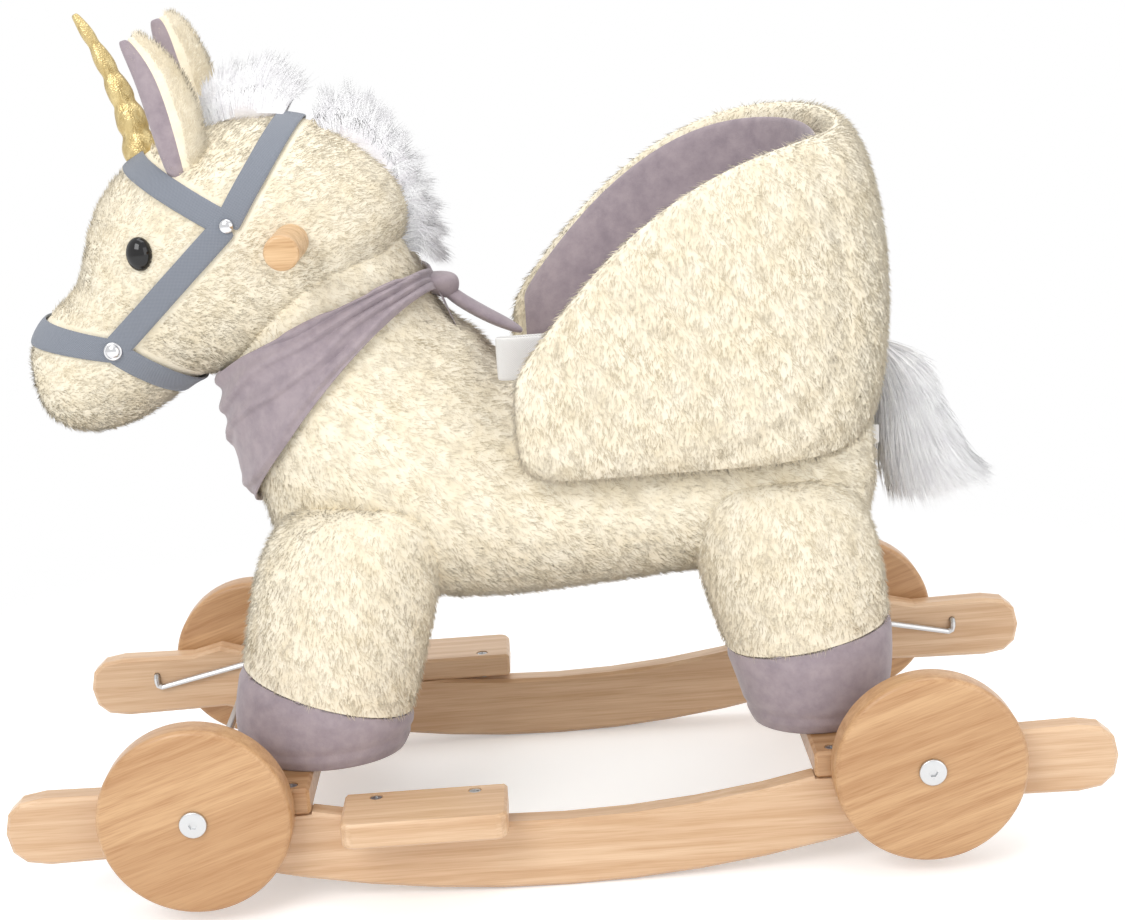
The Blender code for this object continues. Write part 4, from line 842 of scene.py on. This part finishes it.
print("cushion faces:", len(cushion.data.polygons))

# %% [markdown]
# ## Ears
#
# An ear is a flat stuffed leaf of plush with a velvet lining on the side that looks forward. The lining is
# the same leaf, a little smaller and moved forward, so that it stands out of the plush in front only.

# %% Ears
ear_rings = {
    "left": [
        (-212, 468, 12, 8), (-216, 500, 18, 10), (-224, 530, 15, 8), (-233, 547, 10, 6), (-239, 556, 5, 4)
    ],
    "right": [
        (-211, 480, 12, 8), (-218, 518, 18, 10), (-224, 545, 15, 9), (-228, 560, 11, 7), (-231, 567, 6, 5)
    ],
}
EAR_LEAN = 75
ears, ear_linings = {}, {}
for side, sign in SIDES:
    leaf, inner = [], []
    for k, (x, z, tall, wide) in enumerate(ear_rings[side]):
        y = sign * (45 - 1.5 * k)
        leaf.append((x, z, tall - 1, wide - 1, EAR_LEAN, y))
        inner.append((x - 6.2, z - 2, tall * 0.60, wide * 0.74, EAR_LEAN, y - 2.2))
    ears[side] = ringed_form("ear_skin_" + side, leaf, points=12)
    ear_linings[side] = ringed_form("ear_lining_" + side, inner, points=12)
    dress(ears[side], plush, ["ear_" + side])
    dress(ear_linings[side], velvet)
print("ears:", len(ears))

# %% [markdown]
# ## The horn
#
# The horn is gold cloth over stuffing, tied into five puffs that get smaller towards the tip. Its rings are
# worked out along a curve, and a sine swells them between the ties. A fine wave then crinkles the cloth.

# %% Horn
PUFFS, RINGS_A_PUFF = 5, 6
BASE_RADIUS, TIP_RADIUS, CRINKLE = 0.0136, 0.0030, 0.0003
horn_base, horn_bend, horn_tip = Vector((-0.248, 0.474)), Vector((-0.254, 0.522)), Vector((-0.2825, 0.572))
horn_rings = []
for k in range(PUFFS * RINGS_A_PUFF + 1):
    t = k / (PUFFS * RINGS_A_PUFF)
    spot = horn_base * (1 - t) ** 2 + horn_bend * (2 * t * (1 - t)) + horn_tip * t**2
    lead = (horn_bend - horn_base) * (1 - t) + (horn_tip - horn_bend) * t
    tilt = math.atan2(lead.y, lead.x) - math.pi / 2
    swell = 0.74 + 0.26 * abs(math.sin(math.pi * k / RINGS_A_PUFF)) ** 0.6
    radius = (BASE_RADIUS * (1 - t) + TIP_RADIUS * t) * swell
    horn_rings.append((spot.x, spot.y, radius, radius, 90 - math.degrees(tilt)))
horn = ringed_form("horn_gold_cloth", horn_rings, points=20, levels=1, per=1)
for vertex in horn.data.vertices:
    x, y, z = vertex.co
    wave = math.sin(x * 420 + z * 300) * math.sin(y * 380 + z * 210)
    vertex.co += vertex.normal * CRINKLE * wave
dress(horn, gold, ["horn"])
print("horn rings:", len(horn_rings))

# %% [markdown]
# ## The bridle
#
# The bridle is grey webbing, 16.5 mm wide. Each strap follows the head: rays are shot at the skin from
# outside, and the webbing's points lie a little over a millimetre above where they land.

# %% Bridle straps
STRAP_WIDTH, STRAP_WALL = 0.0165, 0.0019
ROUND_STEPS, BESIDE_STEPS = 44, 18
ACROSS_STRAP = [j / 4 - 0.5 for j in range(5)]
head_middle = Vector((-0.215, 0, 0.405))
cheek_ring, mouth_ring = Vector((-0.187, 0, 0.436)), Vector((-0.272, 0, 0.358))


def land(start, aim, above):
    found, normal, face, distance = head_tree.ray_cast(start, aim)
    return found + normal * above


def strap(name, line, places, above):
    """Webbing over the head. Each row of it has a place, and a way in which it looks out from there."""
    across = Vector((-line.z, 0, line.x)) * STRAP_WIDTH
    rows = []
    for base, aim in places:
        rows.append([land(base + across * j + aim * FAR_OFF, -aim, above) for j in ACROSS_STRAP])
    return outer_cloth(name, rows, head_middle, STRAP_WALL, 40)


def strap_round(name, start, stop, above=0.0012):
    """Webbing from the left side over the front or top of the head to the right side."""
    line = (stop - start).normalized()
    places = []
    for k in range(ROUND_STEPS + 1):
        turn = math.radians(-90 + 180 * k / ROUND_STEPS)
        places.append((start, line * math.cos(turn) + Vector((0, math.sin(turn), 0))))
    return strap(name, line, places, above)


def strap_beside(name, start, stop, sign, above=0.0016):
    """Webbing that lies flat on one cheek."""
    outward = Vector((0, sign, 0))
    places = [(start.lerp(stop, k / BESIDE_STEPS), outward) for k in range(BESIDE_STEPS + 1)]
    return strap(name, (stop - start).normalized(), places, above)


straps = [
    strap_round("browband", cheek_ring, Vector((-0.272, 0, 0.487))),
    strap_round("crown_strap", cheek_ring, Vector((-0.137, 0, 0.514)), 0.0014),
    strap_round("noseband", mouth_ring, Vector((-0.345, 0, 0.370))),
    strap_round("chin_strap", mouth_ring, Vector((-0.226, 0, 0.322)), 0.0014),
    strap_beside("cheek_strap_left", cheek_ring, mouth_ring, -1),
    strap_beside("cheek_strap_right", cheek_ring, mouth_ring, 1),
]
for k, piece in enumerate(straps):
    dress(piece, grey_webbing, ["bridle"] if k == 0 else [])
strap_trees = [tree_of(piece) for piece in straps]
print("straps:", len(straps))

# %% [markdown]
# ## Rivets and eyes
#
# Four dome rivets join the straps, and the lower two have a rim. The eyes are polished black domes that
# stand a few millimetres proud.

# %% Rivets and eyes
RIVET_SIZES, EYE_SIZES = (0.0047, 0.0026, 0.0047), (0.0088, 0.0072, 0.0110)
RIVET_STAND, RIM_STAND, EYE_STAND = 0.0044, 0.0042, 0.0015
RIM_RADIUS, RIM_THICKNESS = 0.0052, 0.0009
EYE_X, EYE_Z, EYE_TURN = -0.246, 0.421, 0.35


def dome(name, place, sizes, finish, nodes=(), turn=0.0):
    nothing_selected()
    bpy.ops.mesh.primitive_uv_sphere_add(
        segments=40, ring_count=24, radius=1.0, location=place, rotation=(0, 0, turn)
    )
    made = bpy.context.object
    made.name = name
    made.scale = sizes
    return dress(settle(made), finish, nodes)


for side, sign in SIDES:
    out, aim = Vector((0, sign, 0)), Vector((0, -sign, 0))
    for place, at, nodes in (("cheek", cheek_ring, ["bridle_rivet_" + side]), ("mouth", mouth_ring, [])):
        seat = land(at + out * FAR_OFF, aim, 0.0)
        rivet_at = seat + out * RIVET_STAND
        dome("rivet_" + place + "_" + side, rivet_at, RIVET_SIZES, chrome, nodes)
    nothing_selected()
    bpy.ops.mesh.primitive_torus_add(
        location=seat + out * RIM_STAND, rotation=(math.pi / 2, 0, 0),
        major_segments=48, minor_segments=12, major_radius=RIM_RADIUS, minor_radius=RIM_THICKNESS,
    )
    rim = bpy.context.object
    rim.name = "rivet_rim_" + side
    dress(settle(rim), chrome)
    eye_at = land(Vector((EYE_X, sign * FAR_OFF, EYE_Z)), aim, 0.0) + out * EYE_STAND
    dome("eye_dome_" + side, eye_at, EYE_SIZES, eye_black, ["eye_" + side], sign * EYE_TURN)
    print("rivet and eye on the", side, "at:", tuple(rivet_at), tuple(eye_at))

# %% [markdown]
# ## The scarf
#
# A velvet kerchief lies round the neck. It is narrow at the back, where it is tied, and wide at the chest.
# Its folds start at the knot and spread towards the front, so they follow the band.

# %% Scarf
SCARF_WALL, SCARF_STAND = 0.0018, 0.0042
COLUMNS, BANDS = 150, 40
scarf_back = (Vector((-0.068, 0, 0.389)), Vector((-0.058, 0, 0.378)))
scarf_front = (Vector((-0.225, 0, 0.322)), Vector((-0.196, 0, 0.234)))
scarf_rows = []
for k in range(COLUMNS):
    turn = 2 * math.pi * k / COLUMNS
    front = (1 - math.cos(turn)) / 2
    row = []
    for j in range(BANDS):
        t = j / (BANDS - 1)
        back_edge = scarf_back[0].lerp(scarf_back[1], t)
        front_edge = scarf_front[0].lerp(scarf_front[1], t)
        middle, reach = (back_edge + front_edge) / 2, (back_edge - front_edge) / 2
        middle.z += 0.014 * (1 + t) * abs(math.sin(turn))
        outward = reach * math.cos(turn) + Vector((0, 0.080 * math.sin(turn), 0))
        found, normal, face, distance = body_tree.ray_cast(middle + outward * 3, -outward)
        rumple = noise.noise(Vector((turn * 1.6, t * 3.0, 4.0)))
        fold = 1 - abs(math.sin(math.pi * (3.4 * t**0.8 + 0.5 * rumple + 0.12 * math.sin(2 * turn)))) ** 0.7
        crease = noise.noise(Vector((turn * 4.0, t * 9.0, 9.0)))
        depth = (0.0016 + 0.0042 * front ** 0.5) * fold + 0.0012 * crease * front
        row.append(found + outward.normalized() * (SCARF_STAND + depth))
    scarf_rows.append(row)
scarf_middle = Vector((-0.135, 0, 0.320))
scarf = outer_cloth("scarf_velvet", scarf_rows, scarf_middle, SCARF_WALL, 80, closed_along=True)
dress(scarf, velvet, ["scarf"])
print("scarf faces:", len(scarf.data.polygons))

# %% [markdown]
# ### The knot and its two ends
#
# The kerchief is tied behind the neck, and two short ends hang from the knot. Each is a small stuffed form
# made from rings, because a tied knot is a rounded lump and its folds inside are never seen.

# %% Scarf knot and ends
knot_rings = [
    (-73, 386, 6, 8, 80), (-68, 385, 12, 14, 78), (-60, 381, 13, 15, 70), (-53.5, 375, 9, 10, 60),
    (-50.5, 371, 4, 6, 55),
]
long_rings = [
    (-56, 376, 4.5, 6, 45), (-48, 368, 4.8, 9, 32), (-30, 356, 4.6, 11.5, 27), (-18, 349.5, 4, 11, 24),
    (-9, 344.5, 2.8, 8, 20), (-6, 343, 1.2, 4, 20),
]
short_rings = [
    (-59, 374, 5, 5, 150, -8), (-56, 366, 5, 4.5, 155, -10), (-52.5, 358, 6.2, 3.8, 160, -12),
    (-50, 352, 5, 2.8, 160, -13),
]
knot = ringed_form("scarf_knot", knot_rings, points=12)
long_end = ringed_form("scarf_long_end", long_rings, points=14)
short_end = ringed_form("scarf_short_end", short_rings, points=12)
for made in (knot, long_end, short_end):
    dress(made, velvet)
scarf_tree = tree_of(scarf)
print("knot and ends, faces:", [len(made.data.polygons) for made in (knot, long_end, short_end)])

# %% [markdown]
# ## The pile
#
# Now the plush gets its pile. On the body it leans to the tail, on the head up and back from the muzzle,
# on the ears to their tips, and on the legs and the seat down. It is left out below the straps, the scarf
# and the linings, and along the seat's side seams. The skins cast the shadows: a pile this fine lets the
# light through.

# %% Pile on the plush pieces
def flow_of(*way):
    way = numpy.array(way, dtype=float)
    return lambda points: numpy.broadcast_to(way, points.shape).copy()


cover_straps = [(tree, 0.0034) for tree in strap_trees]
lining_tree = tree_of(seat_lining)
limb_trees = [tree_of(leg) for leg in limb_skins.values()]
piles = [
    grow_pile(
        "body_pile", body_skin, 62000, 0.0075, flow_of(0.8, 0, -0.5), 11,
        covers=[(scarf_tree, 0.004)], inside=[head_tree, shell_tree, *limb_trees],
    ),
    grow_pile(
        "head_pile", head_skin, 46000, 0.0062, flow_of(0.9, 0, 0.15), 12,
        covers=cover_straps + [(scarf_tree, 0.003)], inside=[body_tree],
    ),
]
for k, (label, leg) in enumerate(limb_skins.items()):
    piles.append(grow_pile(
        "leg_pile_" + label, leg, 15000, 0.0068, flow_of(0.1, 0, -1), 20 + k, inside=[body_tree],
        keep=lambda at, n: n[:, 2] > -0.9,
    ))
for k, (side, sign) in enumerate(SIDES):
    piles.append(grow_pile(
        "seat_pile_" + side, shell_skin, 76000, 0.0068, flow_of(0.15, 0, -1), 31 + k,
        covers=[(lining_tree, 0.002), (seam_tree, 0.0024)], inside=[body_tree],
        keep=lambda at, n: at[:, 1] * sign > 0,
    ))
for k, side in enumerate(ears):
    piles.append(grow_pile(
        "ear_pile_" + side, ears[side], 9000, 0.0058, flow_of(0.3, 0, 1), 40 + k,
        covers=[(tree_of(ear_linings[side]), 0.0030)], inside=[head_tree], stand=0.5,
    ))
for made in piles:
    made.visible_shadow = False
    dress(made, plush_hair)
print("hairs:", {made.name: len(made.data.polygons) // 4 for made in piles})

# %% [markdown]
# ## Forelock, mane and tail
#
# The long fur is white and much longer. Each lock starts on a seam and bends over, so a hair is a curve
# through a root, a bend and a tip. A soft core below fills the tuft, as the fur's backing does.
# White fur scatters light from hair to hair, so its hairs cast no hard shadows on each other.

# %% Long fur helpers
CREST_THICKNESS, TAIL_THICKNESS = 0.00040, 0.00042
fur_chance = numpy.random.default_rng(51)


def along(points, shares):
    """Places on a polyline of (x, z), in millimetres, at shares of its length."""
    points = numpy.array(points, dtype=float) / 1000
    steps = numpy.linalg.norm(numpy.diff(points, axis=0), axis=1)
    reached = numpy.concatenate([[0], numpy.cumsum(steps)]) / steps.sum()
    return numpy.stack([numpy.interp(shares, reached, points[:, k]) for k in (0, 1)], axis=1)


def with_y(flat, y):
    return numpy.stack([flat[:, 0], y, flat[:, 1]], axis=1)


def long_hairs(name, roots, bends, tips, thickness, middle):
    shares = numpy.linspace(0, 1, 5)[None, :, None]
    paths = roots[:, None] * (1 - shares) ** 2 + bends[:, None] * 2 * shares * (1 - shares)
    paths = paths + tips[:, None] * shares**2
    facing = unit((bends + tips) / 2 - numpy.array([middle]))
    facing[:, 1] *= 3.0
    facing[:, 2] += 0.5
    facing = unit(facing)
    facing += fur_chance.normal(0, 0.18, facing.shape)
    made = hair_mesh(name, paths, thickness * fur_chance.uniform(0.7, 1.2, len(roots)), facing)
    made.visible_shadow = False
    return dress(made, long_fur)


def crest(name, count, seam_line, rim_line, widths, splay, lengths, lock, bend, drop, middle):
    """A tuft whose hairs start on a seam, end near a rim line and clump into locks.

    widths: half the seam's width, how far sideways a tip may go, and where its length would be nothing
    lock: how far a lock sways, how often, and which way
    bend: how far towards the rim a hair bends, and how much it is moved there
    """
    half_width, limit, rounded = widths
    sway, often, way = lock
    share = fur_chance.random(count)
    seam, rim = along(seam_line, share), along(rim_line, share)
    root_y = fur_chance.uniform(-half_width, half_width, count)
    tip_y = numpy.clip(root_y * splay + fur_chance.normal(0, 0.008, count), -limit, limit)
    length = fur_chance.uniform(*lengths, count) * numpy.sqrt(1 - (tip_y / rounded) ** 2)
    locks = sway * numpy.sin(share * often)[:, None] * numpy.array([way])
    tips = seam + (rim - seam) * length[:, None] + locks
    tips = tips + fur_chance.normal(0, 0.002, (count, 2)) + numpy.array([drop])
    bends = seam + (rim - seam) * bend[0] + numpy.array([bend[1]])
    bends = with_y(bends, (root_y + tip_y) / 2)
    return long_hairs(name, with_y(seam, root_y), bends, with_y(tips, tip_y), CREST_THICKNESS, middle)


def backing(node, rings):
    """The soft core below a tuft."""
    core = ringed_form(node + "_backing", rings, points=12)
    dress(core, fur_root, [node])


print("long hair thickness:", CREST_THICKNESS * 1000, "and", TAIL_THICKNESS * 1000, "mm")

# %% [markdown]
# ### Mane and forelock
#
# The mane runs down the back of the neck, and the forelock lies on top of the head between the ears. Both
# are the same kind of tuft, so one function makes them: from a seam line to a rim line, read off their
# outlines. The locks sway by a sine along the seam, which looks like hair that was combed once.

# %% Mane and forelock
mane_seam = [(-128, 484), (-106, 470), (-96, 455), (-89, 435), (-83, 417), (-80, 404)]
mane_rim = [
    (-136, 507), (-122, 518), (-106, 518), (-88, 508), (-76, 490), (-65, 471), (-58, 449), (-55, 433),
    (-52, 413), (-56, 398),
]
mane_hair = crest(
    "mane_hair", 8900, mane_seam, mane_rim, widths=(0.012, 0.026, 0.034), splay=1.5, lengths=(0.62, 1.06),
    lock=(0.006, 60, (0.6, -0.8)), bend=(0.62, (0.0, 0.005)), drop=(0.001, -0.004), middle=(-0.120, 0, 0.440),
)
backing("mane", [
    (-125, 492, 8, 10, 20), (-116, 489, 14, 14, 25), (-100, 476, 18, 17, 44), (-84, 450, 18, 17, 62),
    (-76, 422, 14, 14, 77), (-73, 404, 8, 10, 85),
])
forelock_seam = [(-203, 494), (-185, 500), (-168, 502), (-152, 500)]
forelock_rim = [(-204, 520), (-196, 531), (-184, 538), (-170, 537), (-156, 541), (-144, 531), (-134, 520)]
forelock_hair = crest(
    "forelock_hair", 6500, forelock_seam, forelock_rim, widths=(0.016, 0.028, 0.036), splay=1.4,
    lengths=(0.5, 1.05), lock=(0.005, 45, (0.9, 0.3)), bend=(0.6, (-0.003, 0.002)), drop=(0, 0),
    middle=(-0.168, 0, 0.480),
)
backing("forelock", [
    (-203, 500, 6, 8, 45), (-196, 504, 12, 14, 30), (-182, 506, 15, 18, 5), (-166, 506, 14, 17, -8),
    (-156, 504, 8, 10, -15),
])
print("mane and forelock faces:", len(mane_hair.data.polygons), len(forelock_hair.data.polygons))

# %% [markdown]
# ### The tail
#
# The tail hangs from the rump in a bush that widens towards its end. Its hairs start at all heights of a
# bent middle line and end further down, spread in a circle round it, as fur on a strip of cloth does.

# %% Tail
TAIL_HAIRS, DOCK_RADIUS = 8900, 0.006
start = fur_chance.uniform(0.0, 0.78, TAIL_HAIRS)
stop = numpy.clip(start + fur_chance.uniform(0.25, 0.55, TAIL_HAIRS), 0, 1.0)
core_line = [(228, 322), (244, 314), (254, 280), (259, 252), (268, 226), (278, 212)]
spread = numpy.interp(stop, [0, 0.3, 0.6, 0.8, 1.0], [0.020, 0.027, 0.028, 0.034, 0.038])
angle = fur_chance.uniform(0, 2 * math.pi, TAIL_HAIRS)
radius = numpy.sqrt(fur_chance.random(TAIL_HAIRS))
roots = with_y(along(core_line, start), DOCK_RADIUS * radius * numpy.sin(angle))
roots[:, 0] += DOCK_RADIUS * radius * numpy.cos(angle)
bends = with_y(along(core_line, (start + stop) / 2), 0.8 * spread * radius * numpy.sin(angle))
bends[:, 0] += 0.9 * spread * radius * numpy.cos(angle)
tips = with_y(along(core_line, stop), 0.9 * spread * radius * numpy.sin(angle))
tips[:, 0] += spread * radius * numpy.cos(angle)
tips[:, 2] += 0.2 * spread * radius * numpy.cos(angle) + fur_chance.normal(0, 0.003, TAIL_HAIRS)
tail_hair = long_hairs("tail_hair", roots, bends, tips, TAIL_THICKNESS, (0.250, 0, 0.250))
backing("tail", [
    (228, 312, 8, 9, 35), (244, 306, 12, 12, 40), (257, 276, 13, 13, 69), (263, 240, 14, 15, 75),
    (268, 222, 8, 9, 70),
])
print("tail faces:", len(tail_hair.data.polygons))

# %% [markdown]
# ## The lap strap and the sewn loop
#
# White webbing comes forward from the left side of the seat and folds back on itself, with a short grey
# tape beside the fold. A small bare loop of white tape is sewn in at the rump, below the tail.
# Each is a grid laid along a path that is drawn from above, and a Solidify modifier gives it its thickness.

# %% Lap strap and loop
def folded_tape(name, path, low, high, wall, bands=7):
    rows = []
    for x, y in path:
        rows.append([(x, y, low + (high - low) * j / (bands - 1)) for j in range(bands)])
    return woven_grid(name, rows, wall=wall, offset=0.0, levels=1)


fold = [
    (0.040, -0.0838), (0.026, -0.0842), (0.010, -0.0846), (-0.004, -0.0848), (-0.014, -0.0846),
    (-0.0195, -0.0838), (-0.0222, -0.0815), (-0.0225, -0.0795), (-0.0212, -0.0775), (-0.0170, -0.0762),
    (-0.006, -0.0760), (0.012, -0.0766), (0.040, -0.0770),
]
lap_strap = folded_tape("lap_strap_webbing", fold, 0.326, 0.354, 0.0020)
dress(lap_strap, white_webbing, ["lap_strap"])
tape_path = [(-0.0100, -0.0850), (-0.0065, -0.0853), (-0.0030, -0.0850)]
grey_tape = folded_tape("lap_strap_tape", tape_path, 0.312, 0.328, 0.0012, 4)
dress(grey_tape, grey_webbing)
loop_path = [(0.2215, -0.0330), (0.2275, -0.0335), (0.2300, -0.0320), (0.2275, -0.0303), (0.2215, -0.0300)]
loop = folded_tape("sewn_loop", loop_path, 0.2550, 0.2680, 0.0006, 4)
dress(loop, white_webbing)
print("tape faces:", [len(made.data.polygons) for made in (lap_strap, grey_tape, loop)])

# %% [markdown]
# ## Wheels
#
# A wheel is turned from a glued-up board: a disc with a rounded rim and a bore. It starts as a cylinder
# whose edges are beveled. The two flat faces are then inset to the bore and bridged through the disc.

# %% Wheels
WHEEL_R, WHEEL_T, BORE_R, RIM_ROUND = 0.062, 0.022, 0.0032, 0.004
SHARP_OVER = 35


def cylinder(name, place, radius, depth, sides, turn=math.pi / 2):
    """A cylinder whose length lies along Y."""
    nothing_selected()
    bpy.ops.mesh.primitive_cylinder_add(
        vertices=sides, radius=radius, depth=depth, location=place, rotation=(turn, 0, 0)
    )
    made = bpy.context.object
    made.name = name
    return made


def choose(made, kind, wanted):
    """Selects the edges or the faces of the piece that pass a test, in edit mode."""
    bpy.ops.mesh.select_mode(type=kind)
    bpy.ops.mesh.select_all(action="DESELECT")
    shape = bmesh.from_edit_mesh(made.data)
    for part in shape.edges if kind == "EDGE" else shape.faces:
        part.select = wanted(part)
    bmesh.update_edit_mesh(made.data)


def ease_ends(made, offset, segments):
    """Rounds the edges of a cylinder's two ends."""
    bpy.ops.object.mode_set(mode="EDIT")
    choose(made, "EDGE", lambda edge: abs(edge.verts[0].co.z - edge.verts[1].co.z) < 0.0001)
    bpy.ops.mesh.bevel(offset=offset, segments=segments, profile=0.5)


def middle_of(low, high):
    return [(low[k] + high[k]) / 2 for k in range(3)]


for end in ("front", "rear"):
    for side, sign in SIDES:
        label = end + "_" + side
        disc = cylinder("wheel_disc_" + label, middle_of(*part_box("wheel_" + label)), WHEEL_R, WHEEL_T, 96)
        ease_ends(disc, RIM_ROUND, 5)
        choose(disc, "FACE", lambda face: len(face.verts) > 90)
        bpy.ops.mesh.inset(thickness=WHEEL_R - RIM_ROUND - BORE_R, use_individual=True)
        bpy.ops.mesh.bridge_edge_loops()
        dress(settle(disc, SHARP_OVER), wheel_wood, ["wheel_" + label], body="wheel_" + label)
print("wheel across:", WHEEL_R * 2)

# %% [markdown]
# ## Axles
#
# Steel axles run from side to side, with a round head on the left and a cap on the right, both with a
# hexagon socket. The socket is cut by an inset whose points are moved onto a hexagon and then pushed in.

# %% Axles
ROD_R, FLANGE_R, FLANGE_T = 0.003, 0.0088, 0.0022
FLANGE_ROUND, SOCKET_INSET, SOCKET_HALF, SOCKET_DEPTH = 0.0009, 0.0044, 0.0025, 0.0015


def socket_head(name, x, face_y, z, outward):
    """A round head with a hexagon socket, whose flat back lies on face_y."""
    place = (x, face_y + outward * FLANGE_T / 2, z)
    made = cylinder(name, place, FLANGE_R, FLANGE_T, 60, -outward * math.pi / 2)
    bpy.ops.object.mode_set(mode="EDIT")
    choose(made, "FACE", lambda face: face.normal.z > 0.9)
    bpy.ops.mesh.bevel(offset=FLANGE_ROUND, segments=3, affect="EDGES")
    choose(made, "FACE", lambda face: face.normal.z > 0.99 and len(face.verts) > 30)
    bpy.ops.mesh.inset(thickness=SOCKET_INSET)
    shape = bmesh.from_edit_mesh(made.data)
    for vertex in shape.verts:
        if vertex.select:
            turn = math.atan2(vertex.co.y, vertex.co.x) % (math.pi / 3) - math.pi / 6
            vertex.co.xy = vertex.co.xy.normalized() * SOCKET_HALF / math.cos(turn)
    bmesh.update_edit_mesh(made.data)
    bpy.ops.mesh.extrude_region_move(TRANSFORM_OT_translate={"value": (0, -outward * SOCKET_DEPTH, 0)})
    return settle(made, SHARP_OVER)


for end in ("front", "rear"):
    low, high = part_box("axle_" + end)
    x, z = (low[0] + high[0]) / 2, (low[2] + high[2]) / 2
    left_face, right_face = low[1] + FLANGE_T, high[1]
    head = socket_head("axle_rod_" + end, x, left_face, z, -1)
    shank_place = (x, (left_face + right_face) / 2, z)
    settle(cylinder("axle_shank_" + end, shank_place, ROD_R, right_face - left_face, 32), SHARP_OVER)
    head.select_set(True)
    bpy.context.view_layer.objects.active = head
    bpy.ops.object.join()
    bpy.ops.object.shade_smooth_by_angle(angle=math.radians(SHARP_OVER))
    dress(head, zinc, ["axle_" + end])
    cap = socket_head("axle_cap_" + end, x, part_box("axle_cap_nut_" + end)[0][1], z, 1)
    dress(cap, zinc, ["axle_cap_nut_" + end])
    print("axle at the", end, "runs from", low[1], "to", right_face)

# %% [markdown]
# ## The handle and the parts that keep their CAD shape
#
# The handle is a turned dowel with eased ends. Boards, wires and screws already have the right shape,
# so they only get their finish.

# %% Handle and carried-over parts
DOWEL_ROUND = 0.0024
low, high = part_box("handle_bar")
dowel = cylinder("handle_dowel", middle_of(low, high), (high[0] - low[0]) / 2, high[1] - low[1], 64)
ease_ends(dowel, DOWEL_ROUND, 4)
dress(settle(dowel, SHARP_OVER), dowel_wood, ["handle_bar"])

carried = (
    (beech, ("runner_", "footrest_left", "footrest_right")),
    # The crossbars take the beech copy whose darker colour is painted shade.
    (shaded_beech, ("crossbar_front", "crossbar_rear")),
    (zinc, ("axle_stay", "crossbar_screw", "footrest_screw")),
    (frame_wood, ("leg_post", "seat_board", "neck_post")),
)
finished = 0
for name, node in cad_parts.items():
    for finish, starts in carried:
        if name.startswith(starts):
            finished += 1
            for holder in node.material_slots:
                holder.material = finish
print("carried-over parts with a finish:", finished)

# %% [markdown]
# ## Floor and light
#
# The floor is plain and nearly white, and so is the world behind it. Three large soft lamps light the toy
# at a level at which a colour renders about as it is written.

# %% Floor and light
FLOOR_SIZE, FLOOR_DROP = 14, 0.0004
FLOOR_GLOW, WORLD_LIGHT = 0.30, 0.70
FADE_FROM, FADE_TO = 0.42, 0.80
nothing_selected()
bpy.ops.mesh.primitive_plane_add(size=FLOOR_SIZE, location=(0, 0, -FLOOR_DROP))
floor = bpy.context.object
floor.name = "studio_floor"
paper, tree, shader = new_finish("white_paper_floor", "#F7F7F7", 0.9)
rays = add(tree, "LightPath")
camera_ray, glossy_ray = rays.outputs["Is Camera Ray"], rays.outputs["Is Glossy Ray"]
seen = add(tree, "Math", {0: camera_ray, 1: glossy_ray}, operation="MAXIMUM")
glow = add(tree, "Emission", {"Color": (1, 1, 1, 1), "Strength": FLOOR_GLOW})
lift = add(tree, "MixShader", {0: seen, 2: glow})
total = add(tree, "AddShader", {0: shader, 1: lift})
where = add(tree, "TexCoord").outputs["Object"]
away = add(tree, "VectorMath", {0: where}, operation="LENGTH").outputs["Value"]
fade = add(tree, "MapRange", {0: away, 1: FADE_FROM, 2: FADE_TO}, interpolation_type="SMOOTHSTEP")
shown = add(tree, "Math", {0: fade, 1: camera_ray}, operation="MULTIPLY")
ends = add(tree, "MixShader", {0: shown, 1: total, 2: add(tree, "BsdfTransparent")})
feed(tree.nodes["Material Output"], {"Surface": ends})
floor.data.materials.append(paper)

world = bpy.data.worlds.new("studio_world")
bpy.context.scene.world = world
world.use_nodes = True
tree = world.node_tree
tree.nodes.clear()
rays = add(tree, "LightPath")
camera_ray, glossy_ray = rays.outputs["Is Camera Ray"], rays.outputs["Is Glossy Ray"]
first = add(tree, "Math", {0: camera_ray, 1: glossy_ray}, operation="MAXIMUM")
seen = add(tree, "Math", {0: first, 1: rays.outputs["Is Transmission Ray"]}, operation="MAXIMUM")
soft = add(tree, "Background", {"Color": (1, 1, 1, 1), "Strength": WORLD_LIGHT})
white = add(tree, "Background", {"Color": (1, 1, 1, 1), "Strength": 1.0})
both = add(tree, "MixShader", {0: seen, 1: soft, 2: white})
add(tree, "OutputWorld", {"Surface": both})


def lamp(name, place, size, power):
    bpy.ops.object.select_all(action="DESELECT")
    bpy.ops.object.light_add(type="AREA", location=place)
    made = bpy.context.object
    made.name = name
    made.data.size = size
    made.data.energy = power
    aim = Vector((0, 0, 0.25)) - Vector(place)
    made.rotation_euler = aim.to_track_quat("-Z", "Y").to_euler()


lamp("key_lamp", (-1.1, -1.9, 1.9), 1.4, 31)
lamp("fill_lamp", (1.6, -1.6, 0.9), 1.6, 11)
lamp("top_lamp", (0.2, 0.3, 2.3), 1.6, 17)
bpy.context.scene.view_settings.view_transform = "Standard"
print("lamp power:", [light.energy for light in bpy.data.lights])
